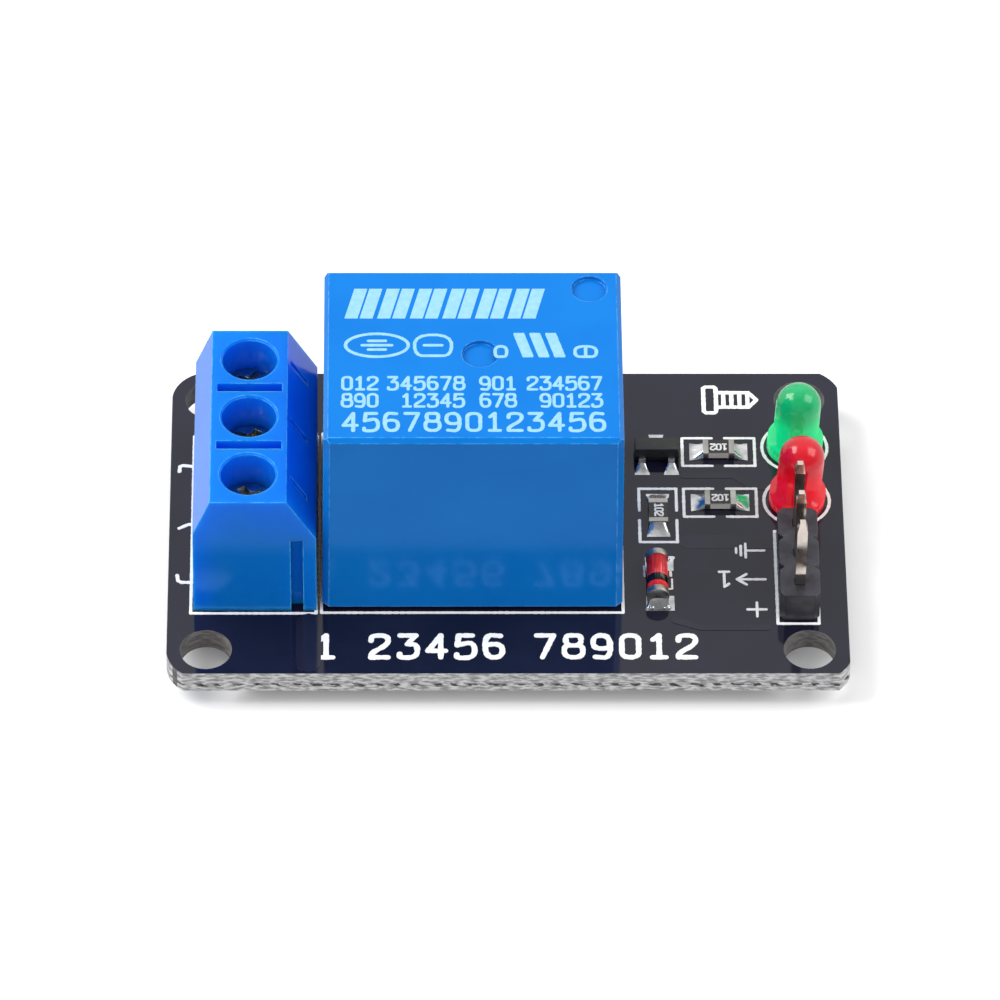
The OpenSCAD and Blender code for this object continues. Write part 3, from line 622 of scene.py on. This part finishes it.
class RELAY_OT_board(bpy.types.Operator):
    """Board laminate, its mask and the solder under it"""

    bl_idname = "relay_board.board"
    bl_label = "Board and solder"

    def execute(self, context):
        dress("circuit_board", board_finish())
        # Hot-dipped tin solder, cooled in air: bright grey with a faint frost
        solder = metal("tin_lead_solder_reflowed", "#E2E2E2", "#A4A6AA", (0.14, 0.28), 0.45, 0.03)
        for node in ("terminal_solder", "relay_solder", "header_solder", "lamp_solder"):
            welded_copy(node, "joints", solder, smooth=40)
        return {"FINISHED"}


class RELAY_OT_mouldings(bpy.types.Operator):
    """Terminal housing, relay case and base, bobbin and header housing"""

    bl_idname = "relay_board.mouldings"
    bl_label = "Plastic mouldings"

    def execute(self, context):
        edge = looks().edge_round / MM
        # Glass-filled polyester moulded in a spark-eroded tool: a fine satin grain breaks up the gloss
        case = blue_moulding("blue_polyester_satin", "#0B6FC6", "#0E75CC", (0.12, 0.2), 0.003, edge)
        # Blue polyamide from a polished tool: deeper and more even than the relay's case
        housing = blue_moulding(
            "blue_polyamide_gloss", "#0A74DE", "#0D7CE8", (0.14, 0.2), 0.001, edge * 0.7,
            Subsurface_Weight=0.7, Subsurface_Radius=(0.15, 0.5, 1.0), Subsurface_Scale=3 * MM,
        )
        # Black polyester, unpolished tool: grey scuffs and a dry sheen
        shades = ("#26262D", "#34343C")
        black = surface("black_polyester_moulded", *shades, 0.7, (0.3, 0.5), 0.3, 0.012, IOR=1.52)
        # Natural polyamide of the coil former: waxy off-white
        natural = surface("natural_polyamide", "#DAD6C6", "#CFCAB6", 3.0, (0.4, 0.5), 0.3, 0.004, IOR=1.53)
        shells = (("relay_case", case, "relay_plastic"), ("terminal_housing", housing, "terminal_plastic"))
        for node, plastic, slot in shells:
            flatten_planes(welded_copy(node, "shell", plastic, smooth=12).data)
        welded_copy("header_housing", "block", black, edge * 0.5)
        dress("relay_base", black)
        dress("relay_bobbin", natural)
        return {"FINISHED"}


class RELAY_OT_metalwork(bpy.types.Operator):
    """Clamps, threaded screws, header pins, leads and the relay's working parts"""

    bl_idname = "relay_board.metalwork"
    bl_label = "Metal pieces"

    def execute(self, context):
        # Brass strip, folded and nickel flashed: warm grey with brass in the worn folds
        cage = metal("brass_strip_nickel_flashed", "#B9A77A", "#A8976C", (0.25, 0.4))
        # Spring steel strip, tin plated: dull bright grey
        guard = metal("spring_steel_tinned", "#A9A9A6", "#8E8E8C", (0.28, 0.42))
        # Steel screws, zinc plated with a faint yellow passivation
        screw = metal("zinc_plated_screw_steel", "#DCD8C4", "#B4B09C", (0.16, 0.28), 0.5, 0.06)
        # Square brass wire, bright tin plated: a near mirror with a warm cast
        pin = metal("bright_tin_on_brass_wire", "#EADFD6", "#DCD0C6", (0.08, 0.16), 0.5, 0.002)
        # Copper wire leads, dipped in solder
        lead = metal("solder_dipped_copper_lead", "#C4C4C4", "#A6A6A6", (0.16, 0.3))
        # Soft iron, zinc plated: flat grey with a coarse grain
        iron = metal("zinc_plated_soft_iron", "#A0A2A4", "#86888B", (0.3, 0.45), 0.4, 0.008)
        # Copper alloy strip, rolled and stamped
        strip = metal("rolled_copper_strip", "#C98A5A", "#B97848", (0.22, 0.35))
        for i in POLES:
            dress(f"clamp_cage_{i}", cage)
            dress(f"wire_guard_{i}", guard)
            welded_copy(f"clamp_screw_{i}", "turned", screw, 0.09)
            welded_copy(f"header_pin_{i}", "drawn", pin, smooth=12)
        leads = [f"{colour}_lamp_{end}" for colour in ("green", "red") for end in ("anode", "cathode")]
        leads += [f"transistor_{end}_lead" for end in ("base", "emitter", "collector")]
        leads += ["relay_coil_pin_1", "relay_coil_pin_2"]
        for node in leads:
            dress(node, lead)
        for node in ("relay_core", "relay_yoke", "relay_armature"):
            dress(node, iron)
        for node in ("relay_contact_blade", "relay_no_terminal", "relay_nc_terminal"):
            dress(node, strip)
        dress("relay_coil_winding", winding_finish())
        self.threads(screw)
        return {"FINISHED"}

    def threads(self, steel):
        """Rolled threads: a ridge of triangular section carried along a helix round each shank."""
        pitch, depth, half, per_turn = 0.45, 0.042, 0.14, 28
        shank, foot, sunk = 1.25, 0.25, -0.01
        turns = looks().thread_turns
        for i in POLES:
            low = span(f"clamp_screw_{i}")[0]
            x, y, _ = middle(f"clamp_screw_{i}")
            angle = np.linspace(0, 2 * math.pi * turns, per_turn * turns + 1)
            fade = np.clip(np.minimum(angle, angle[-1] - angle) / (math.pi / 2), 0, 1)
            climb = low[2] + foot + pitch * angle / (2 * math.pi)
            section = np.array([(sunk, -half), (depth, 0.0), (sunk, half)])
            radius = shank + section[None, :, 0] * fade[:, None]
            height = climb[:, None] + section[None, :, 1] * fade[:, None]
            across, along = radius * np.cos(angle)[:, None], radius * np.sin(angle)[:, None]
            ring = np.stack([x + across, y + along, height], axis=2)
            count, sides = ring.shape[:2]
            first = (np.arange(count - 1) * sides)[:, None]
            k = np.arange(sides)
            ahead = (k + 1) % sides
            faces = np.stack([first + k, first + ahead, first + sides + ahead, first + sides + k], axis=2)
            ends = [[0, 2, 1], [(count - 1) * sides + j for j in (0, 1, 2)]]
            thread = (ring.reshape(-1, 3), faces.reshape(-1, 4).tolist() + ends)
            new_piece(f"clamp_screw_{i}_thread", [thread], f"screw_{i}", steel, 30)


class RELAY_OT_lamps(bpy.types.Operator):
    """Lenses of the green and red lamps"""

    bl_idname = "relay_board.lamps"
    bl_label = "Lamp lenses"

    def execute(self, context):
        # Each cast: colour, two shades, scatter depth, painted glow colour and painted glow strength
        casts = (
            ("green", "#0CA466", "#16B070", (0.3, 1.0, 0.6), "#0CE884", 0.42),
            ("red", "#C80820", "#CC1026", (1.0, 0.12, 0.15), "#FF0818", 0.24),
        )
        for colour, *look in casts:
            epoxy = lens_finish(f"{colour}_diffused_epoxy", *look)
            welded_copy(f"{colour}_lamp_lens", "cast", epoxy, smooth=30)
        return {"FINISHED"}


class RELAY_OT_chips(bpy.types.Operator):
    """Resistors, transistor and diode, with their solder"""

    bl_idname = "relay_board.chips"
    bl_label = "Small parts"

    def execute(self, context):
        film = resistor_finish()
        # Plated tin end caps of the chips
        ends = metal("tin_plated_end_cap", "#BAB8B4", "#9A9894", (0.26, 0.42), 0.3, 0.01)
        # Black novolac epoxy, transfer moulded: matt with a laser-dull grain
        shades = ("#121213", "#1A1A1C")
        epoxy = surface("black_novolac_epoxy", *shades, 0.5, (0.42, 0.58), 0.1, 0.006, IOR=1.55)
        for i in POLES:
            dress(f"resistor_{i}", film)
            welded_copy(f"resistor_ends_{i}", "caps", ends, 0.03)
        welded_copy("transistor_body", "moulded", epoxy, 0.03)
        welded_copy("diode_glass", "sleeve", diode_finish())
        for end in ("front", "back"):
            welded_copy(f"diode_{end}_cap", "drawn", ends, 0.06)
        self.solder()
        return {"FINISHED"}

    def solder(self):
        """Solder drawn up the ends of the surface-mounted parts."""
        level = span("circuit_board")[1][2]
        solder = bpy.data.materials["tin_lead_solder_reflowed"]
        parts = []
        for i, turn in ((1, 0), (2, 0), (3, 90)):
            low, high = span(f"resistor_ends_{i}")
            half = max(high[0] - low[0], high[1] - low[1]) / 2
            tall = (high[2] - level) * 0.93
            drawn = fillet(half - 0.03, half + 0.87, 1.16, 1.5, tall)
            for side in (0, 180):
                parts.append(sheet_on_board(drawn, level, turn + side, ((low + high) / 2)[:2]))
        drawn = fillet(-0.42, 0.46, 0.5, 0.98, 0.42, 0.05)
        for end, turn in (("base", -90), ("emitter", -90), ("collector", 90)):
            low, high = span(f"transistor_{end}_lead")
            toe = ((low[0] + high[0]) / 2, low[1] if turn < 0 else high[1])
            parts.append(sheet_on_board(drawn, level, turn, toe))
        low, high = span("diode_front_cap")[0], span("diode_back_cap")[1]
        x = (low[0] + high[0]) / 2 + 0.17
        # A flat pad, the solder drawn up the cap, and two bumps
        pad = fillet(-0.72, 0.51, 1.78, 1.8, 0.09, 0.075)
        drawn = fillet(-0.05, 0.43, 1.25, 1.7, 0.76, 0.05)
        for side, face in ((-1, low[1]), (1, high[1])):
            parts.append(sheet_on_board(pad, level, side * 90, (x, face)))
            parts.append(sheet_on_board(drawn, level, side * 90, (x - 0.1, face)))
            for off, size in ((-0.55, 0.22), (0.42, 0.3)):
                parts.append(sheet_on_board(mound(size, 0.2, 0.24), level, 0, (x + off, face + side * 0.3)))
        piece = new_piece("chip_solder_joints", parts, "board", solder, 50)
        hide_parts("chip_solder")


class RELAY_OT_tracks(bpy.types.Operator):
    """Copper tracks that stand out under the mask, on both faces of the board"""

    bl_idname = "relay_board.tracks"
    bl_label = "Masked tracks"

    def execute(self, context):
        mask = mask_over_copper()
        low, high = span("circuit_board")
        rise, step = looks().track_height / MM, 0.007
        top = [
            (1.2, [(11.6, -1.8), (17.0, -1.8)]),
            (0.5, [(11.4, 4.0), (14.6, 4.0), (15.8, 3.0), (17.6, 3.0)]),
            (0.5, [(10.6, -8.6), (12.2, -9.2), (16.4, -9.2)]),
            (1.6, [(-12.6, -8.8), (-12.6, -12.2)]),
        ]
        under = [
            (3.4, [(-9.2, 5.9), (-12.2, 5.6), (-16.3, 4.8)]),
            (3.4, [(-9.2, -6.1), (-12.2, -5.7), (-16.3, -5.2)]),
            (3.0, [(5.1, -0.1), (-4.0, -0.2), (-16.3, -0.2)]),
            (0.8, [(3.1, 5.9), (6.5, 5.9), (9.7, 6.6), (14.0, 8.6), (18.4, 8.2)]),
            (0.8, [(3.1, -6.1), (6.0, -6.1), (9.5, -7.5), (14.0, -7.3), (18.4, -7.3)]),
            (0.6, [(18.4, -4.8), (14.6, -4.8), (12.0, -2.6), (10.6, 0.4)]),
            (0.6, [(18.4, -2.2), (15.6, -2.2), (13.4, 0.4), (13.4, 4.6)]),
            (0.6, [(18.4, 5.2), (16.4, 4.2), (14.8, 2.4)]),
        ]
        parts = printed([(width, [line]) for width, line in top], high[2], rise, step, 0)
        parts += printed([(width, [rounded_line(line, 1)]) for width, line in under], low[2], -rise, -step, 0)
        new_piece("masked_copper_tracks", parts, "board", mask)
        return {"FINISHED"}


def outlines():
    """Boxes round the relay, the terminal, the header and the chips."""
    margins = (
        ("relay_case", (0.05, 0.25), (0.05, 0.18)),
        ("terminal_housing", (0.18, 0.24), (-0.04, -0.3)),
        ("header_housing", (0.1, 0.29), (-0.03, 0.07)),
    )
    lines = []
    for node, before, beyond in margins:
        low, high = (corner[:2] for corner in span(node))
        lines.append(box_line(low - before, high + beyond))
    # Each chip has two brackets that leave a gap in the middle of its long sides
    gap = 0.42
    for i, along, grow in ((1, 0, (1.33, 0.6)), (2, 0, (1.33, 0.6)), (3, 1, (0.57, 1.33))):
        low, high = (corner[:2] for corner in span(f"resistor_ends_{i}"))
        low, high = low - grow, high + grow
        near, far = low[1 - along], high[1 - along]
        for side, end in ((-gap, low[along]), (gap, high[along])):
            stop = (low[along] + high[along]) / 2 + side
            bracket = np.array([(stop, near), (end, near), (end, far), (stop, far)])
            lines.append(bracket[:, ::-1] if along else bracket)
    return lines


def circles():
    """A ring round the foot of each lamp."""
    lines = []
    for colour in ("green", "red"):
        centre = (middle(f"{colour}_lamp_anode") + middle(f"{colour}_lamp_cathode")) / 2
        lines.append(oval_line(centre[:2], 2.1, 40))
    return lines


def title():
    """A row of plain numerals along the front edge."""
    base = span("circuit_board")[0][1] + 1.35
    groups = (("1", -12.05, base, 1.0), ("23456", -8.65, base, 1.80), ("789012", 1.8, base, 1.79))
    return numeral_lines(groups, 1.86, 0.95)


def screw_sign():
    """A small screw lying on its side, the sign for the screw terminal's use."""
    x, y, foot, tip = 12.84, 10.71, 13.65, 16.27
    tall, cut = 1.16, 0.14
    side, crown = y + tall - cut, y + tall
    half = [(foot, y), (foot, side), (foot - cut, crown), (x + cut, crown), (x, side), (x, y)]
    head = [half, [(a, 2 * y - b) for a, b in half]]
    shank = [[(foot, y + s), (15.75, y + s), (tip, y)] for s in (-0.65, 0.65)]
    turns = [[(a, y - 0.62), (a, y + 0.62)] for a in foot + 0.48 + 0.52 * np.arange(4)]
    return [*head, *shank, *turns]


def pin_signs():
    """Signs beside the header pins, read from the pins' side: earth, signal and plus."""
    near, far, tip = 16.4, 15.2, 14.6
    earth, signal, plus = (
        middle(f"header_pin_{i}")[1] - off for i, off in ((3, 0.35), (2, 0.3), (1, 0.35))
    )
    lines = [[(near, earth), (far, earth)]]
    for x, half in ((far, 0.6), (far - 0.3, 0.4), (far - 0.6, 0.2)):
        lines.append([(x, earth - half), (x, earth + half)])
    lines.append([(near, signal), (tip, signal)])
    lines.append([(far, signal + 0.45), (tip, signal), (far, signal - 0.45)])
    lines += [[(near, plus), (far, plus)], [(15.8, plus - 0.6), (15.8, plus + 0.6)]]
    numeral = numeral_lines([("1", 13.5, signal - 0.65, 1.0)], 1.3)
    return lines + turned(numeral, (13.85, signal), 180)


def contact_signs():
    """Three short hooks beside the terminal that stand for the change-over contact."""
    return [
        rounded_line([(-20.98, 4.35), (-20.95, 4.9), (-20.17, 4.79)], 1),
        [(-20.92, -0.65), (-20.35, -0.32), (-20.09, -0.30)],
        rounded_line([(-20.98, -4.73), (-20.9, -5.34), (-20.08, -5.34)], 1),
    ]


def diode_sign():
    """Short bars on both sides of the diode."""
    return [
        [(10.30, -3.14), (10.62, -3.18), (10.48, -3.52)],
        [(10.31, -3.74), (10.36, -4.80)],
        [(10.38, -3.86), (10.42, -4.80)],
        [(10.46, -5.08), (10.46, -5.90), (10.26, -5.92)],
        [(8.70, -3.94), (8.72, -4.80)],
    ]


class RELAY_OT_board_print(bpy.types.Operator):
    """White screen print on the board: outlines, plain numerals and signs"""

    bl_idname = "relay_board.board_print"
    bl_label = "Board print"

    def execute(self, context):
        # Epoxy ink pushed through a mesh: matt white with a grain of the mesh threads
        colour = tuple(looks().print_colour)
        worn = tuple(0.94 * x for x in colour)
        ink = surface("white_screen_ink", colour, worn, 0.5, (0.45, 0.6), 0.12, 0.006, IOR=1.5)
        runs = [
            (looks().outline_width / MM, outlines()),
            (0.2, circles()),
            (0.35, title()),
            (0.27, screw_sign()),
            (0.17, pin_signs()),
            (0.23, contact_signs()),
            (0.12, diode_sign()),
        ]
        parts = printed(runs, span("circuit_board")[1][2], looks().print_height / MM, 0.004, 0.1)
        new_piece("board_print", parts, "board", ink)
        return {"FINISHED"}


def slanted_bars():
    """Heavy slanted bars in pairs: parallelograms that lean by a fixed share of their height."""
    pair, bar, lean, low, high = 2.05, 0.82, 0.62, 3.06, 5.68
    left = (-10.32 + pair * np.arange(6)[:, None] + np.array([0.0, bar + 0.13])).ravel()
    corner = np.stack([left, left + bar, left + bar + lean, left + lean], axis=1)
    return np.stack([corner, np.broadcast_to([low, low, high, high], corner.shape)], axis=2)


def marks():
    """An oval ring, rounded boxes with bars inside, and a group of slanted bars."""
    x, y = -8.27, 0.72
    lines = [oval_line((x, y), (1.97, 1.0), 48)]
    for half, level in ((0.93, y), (0.53, y + 0.38), (0.53, y - 0.38)):
        lines.append([(x - half, level), (x + half, level)])
    boxes = ((-5.9, 2.3, -0.2, 1.62), (-0.86, 0.72, -0.28, 0.62), (4.14, 1.34, -0.28, 0.62))
    for left, wide, low, high in boxes:
        half, right = left + wide / 2, left + wide
        box = [(half, low), (right, low), (right, high), (left, high), (left, low), (half, low)]
        lines.append(rounded_line(box))
    lines += [[(-5.3, y), (-4.2, y)], [(4.81, -0.2), (4.81, 0.55)]]
    for foot in (0.95, 1.95, 2.95):
        lines += [[(foot - 0.55 + d, 1.7), (foot + d, -0.24)] for d in (0.0, 0.16, 0.32, 0.48)]
    return lines


def ratings():
    """Two rows of plain numerals in four groups."""
    upper, lower = -3.12, -4.6
    groups = (
        ("012", -10.4, upper, 0.8),
        ("345678", -7.55, upper, 0.83),
        ("901", -1.78, upper, 0.8),
        ("234567", 1.18, upper, 0.8),
        ("890", -10.4, lower, 0.8),
        ("12345", -6.68, lower, 0.81),
        ("678", -1.78, lower, 0.8),
        ("90123", 1.98, lower, 0.8),
    )
    return numeral_lines(groups, 1.06, 0.85)


def long_row():
    """One row of larger plain numerals."""
    return numeral_lines([("4567890123456", -10.34, -6.66, 1.283)], 1.46, 0.92)


class RELAY_OT_relay_print(bpy.types.Operator):
    """Pale print on the relay's top: plain bars, boxes and numerals"""

    bl_idname = "relay_board.relay_print"
    bl_label = "Relay print"

    def execute(self, context):
        # Pad-printed ink, thin enough for the blue to cool it
        colour = tuple(looks().relay_print_colour)
        thin = tuple(a * b for a, b in zip(colour, (0.8, 0.92, 1.0)))
        ink = surface("pale_pad_print_ink", colour, thin, 0.35, (0.4, 0.55), 0.1, 0.003, IOR=1.48)
        level, thick, step = span("relay_case")[1][2], looks().relay_print_height / MM, 0.0015
        runs = [(0.22, marks()), (0.2, ratings()), (0.25, long_row())]
        parts = printed(runs, level, thick, step, 0.06)
        parts.append(layered(slanted_bars(), level, thick + step * len(runs)))
        new_piece("relay_top_print", parts, "board", ink)
        return {"FINISHED"}


class RELAY_OT_chip_marks(bpy.types.Operator):
    """White value numerals on the three chip resistors"""

    bl_idname = "relay_board.chip_marks"
    bl_label = "Chip numerals"

    def execute(self, context):
        # Fired white glass ink on the chips' overcoat
        shades = ("#F8F8F4", "#ECECE8")
        ink = surface("white_fired_glass_ink", *shades, 0.2, (0.3, 0.45), 0.08, 0.002, IOR=1.5)
        parts = []
        for i, angle in ((1, 180), (2, 180), (3, 270)):
            low, high = span(f"resistor_{i}")
            centre = ((low + high) / 2)[:2]
            lines = numeral_lines([("102", centre[0] - 0.52, centre[1] - 0.2, 0.38)], 0.5, 0.9)
            parts.append(layered(strokes(turned(lines, centre, angle), 0.115), high[2], 0.004, 0.00005))
        new_piece("chip_numerals", parts, "board", ink)
        return {"FINISHED"}


class RELAY_OT_stage(bpy.types.Operator):
    """Floor, light and camera"""

    bl_idname = "relay_board.stage"
    bl_label = "Stage"

    def execute(self, context):
        scene = context.scene
        stage = scene.relay_board_stage
        self.floor(stage)
        self.sky(scene, stage)
        self.lamp("left_softbox", (-0.43, 0.10, 0.45), 0.42, stage.left_power)
        self.lamp("right_softbox", (0.45, 0.0, 0.42), 0.40, stage.right_power)
        self.camera(scene)
        scene.view_settings.view_transform = "Standard"
        return {"FINISHED"}

    def floor(self, stage):
        """A wide plane under the board, white to the camera and to gloss."""
        material = bpy.data.materials.new("white_studio_floor")
        material.use_nodes = True
        tree = material.node_tree
        tree.nodes.clear()
        grain = add(tree, "TexNoise", {"Scale": 40.0})
        matt = add(tree, "MapRange", {0: grain, 3: 0.19, 4: 0.21})
        paper = add(tree, "BsdfDiffuse", {"Color": matt})
        bright = add(tree, "BsdfDiffuse", {"Color": rgba("#FAFAFA")})
        white = add(tree, "Emission", {"Strength": 1.0})
        path = add(tree, "LightPath")
        seen = add(tree, "MixShader", {0: stage.floor_shadow, 1: white, 2: bright})
        rays = {0: (path, "Is Glossy Ray"), 1: (path, "Is Transmission Ray")}
        mirrored = add(tree, "Math", rays, operation="MAXIMUM")
        light = add(tree, "MixShader", {0: mirrored, 1: paper, 2: white})
        whole = add(tree, "MixShader", {0: (path, "Is Camera Ray"), 1: light, 2: seen})
        add(tree, "OutputMaterial", {"Surface": whole})
        half = 3.0
        corners = np.array([(-half, -half, 0), (half, -half, 0), (half, half, 0), (-half, half, 0)])
        mesh = bpy.data.meshes.new("studio_floor")
        mesh.from_pydata(corners.tolist(), [], [[0, 1, 2, 3]])
        mesh.materials.append(material)
        floor = bpy.data.objects.new("studio_floor", mesh)
        bpy.context.scene.collection.objects.link(floor)

    def sky(self, scene, stage):
        """White to the camera and through clear parts, and to gloss white behind and dim in front; a
        lower level to matt surfaces, stronger from the front than from behind."""
        world = bpy.data.worlds.new("studio_sky")
        scene.world = world
        world.use_nodes = True
        tree = world.node_tree
        tree.nodes.clear()
        where = add(tree, "TexCoord")
        parts = add(tree, "SeparateXYZ", {0: (where, "Generated")})
        front, behind = stage.sky_level * 1.6, stage.sky_level * 0.55
        matt = add(tree, "MapRange", {0: (parts, "Y"), 1: -0.7, 2: 0.7, 3: front, 4: behind})
        path = add(tree, "LightPath")
        back = add(tree, "MapRange", {0: (parts, "Y"), 1: -0.5, 2: 0.5, 3: stage.front_level, 4: 1.0})
        shiny = add(tree, "Mix", {0: (path, "Is Glossy Ray"), 2: matt, 3: back}, data_type="FLOAT")
        rays = {0: (path, "Is Camera Ray"), 1: (path, "Is Transmission Ray")}
        seen = add(tree, "Math", rays, operation="MAXIMUM")
        level = add(tree, "Mix", {0: seen, 2: shiny, 3: 1.0}, data_type="FLOAT")
        light = add(tree, "Background", {"Color": rgba("#FFFFFF"), "Strength": level})
        add(tree, "OutputWorld", {"Surface": light})

    def lamp(self, name, place, size, power):
        """A square soft light that looks at the board's middle."""
        data = bpy.data.lights.new(name, "AREA")
        data.size, data.energy = size, power
        lamp = bpy.data.objects.new(name, data)
        lamp.matrix_world = looking(place, (0, 0, 0.008))
        bpy.context.scene.collection.objects.link(lamp)

    def camera(self, scene):
        """A long lens that looks down on the board's front edge."""
        data = bpy.data.cameras.new("studio_camera")
        data.lens, data.sensor_width = 314.85, 36.0
        data.clip_start, data.clip_end = 0.05, 10.0
        camera = bpy.data.objects.new("studio_camera", data)
        place, down, roll, heading = (-0.00708, -0.38135, 0.41176), 0.8177, 0.0125, -0.0174
        pose = Matrix.Translation(place)
        for angle, axis in ((heading, "Z"), (math.pi / 2 - down, "X"), (roll, "Z")):
            pose = pose @ Matrix.Rotation(angle, 4, axis)
        camera.matrix_world = pose
        scene.collection.objects.link(camera)
        scene.camera = camera


def looking(place, target):
    """A placing at a point whose back axis runs from the target to it."""
    back = Vector(place) - Vector(target)
    return Matrix.Translation(place) @ back.to_track_quat("Z", "Y").to_matrix().to_4x4()


OPERATORS = (
    RELAY_OT_board,
    RELAY_OT_mouldings,
    RELAY_OT_metalwork,
    RELAY_OT_lamps,
    RELAY_OT_chips,
    RELAY_OT_tracks,
    RELAY_OT_board_print,
    RELAY_OT_relay_print,
    RELAY_OT_chip_marks,
    RELAY_OT_stage,
)


class RELAY_PT_looks(bpy.types.Panel):
    """Lists the steps that dress the board"""

    bl_label = "Relay board"
    bl_idname = "RELAY_PT_looks"
    bl_space_type = "VIEW_3D"
    bl_region_type = "UI"
    bl_category = "Relay board"

    def draw(self, context):
        for group in (context.scene.relay_board_looks, context.scene.relay_board_stage):
            for name in group.__annotations__:
                self.layout.prop(group, name)
        for operator in OPERATORS:
            self.layout.operator(operator.bl_idname)


CLASSES = (RelayLooks, RelayStage, *OPERATORS, RELAY_PT_looks)


def register():
    for cls in CLASSES:
        bpy.utils.register_class(cls)
    bpy.types.Scene.relay_board_looks = PointerProperty(type=RelayLooks)
    bpy.types.Scene.relay_board_stage = PointerProperty(type=RelayStage)


def unregister():
    del bpy.types.Scene.relay_board_looks
    del bpy.types.Scene.relay_board_stage
    for cls in reversed(CLASSES):
        bpy.utils.unregister_class(cls)


def main():
    """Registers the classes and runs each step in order."""
    register()
    for operator in OPERATORS:
        group, name = operator.bl_idname.split(".")
        getattr(getattr(bpy.ops, group), name)()


if __name__ == "__main__":
    main()
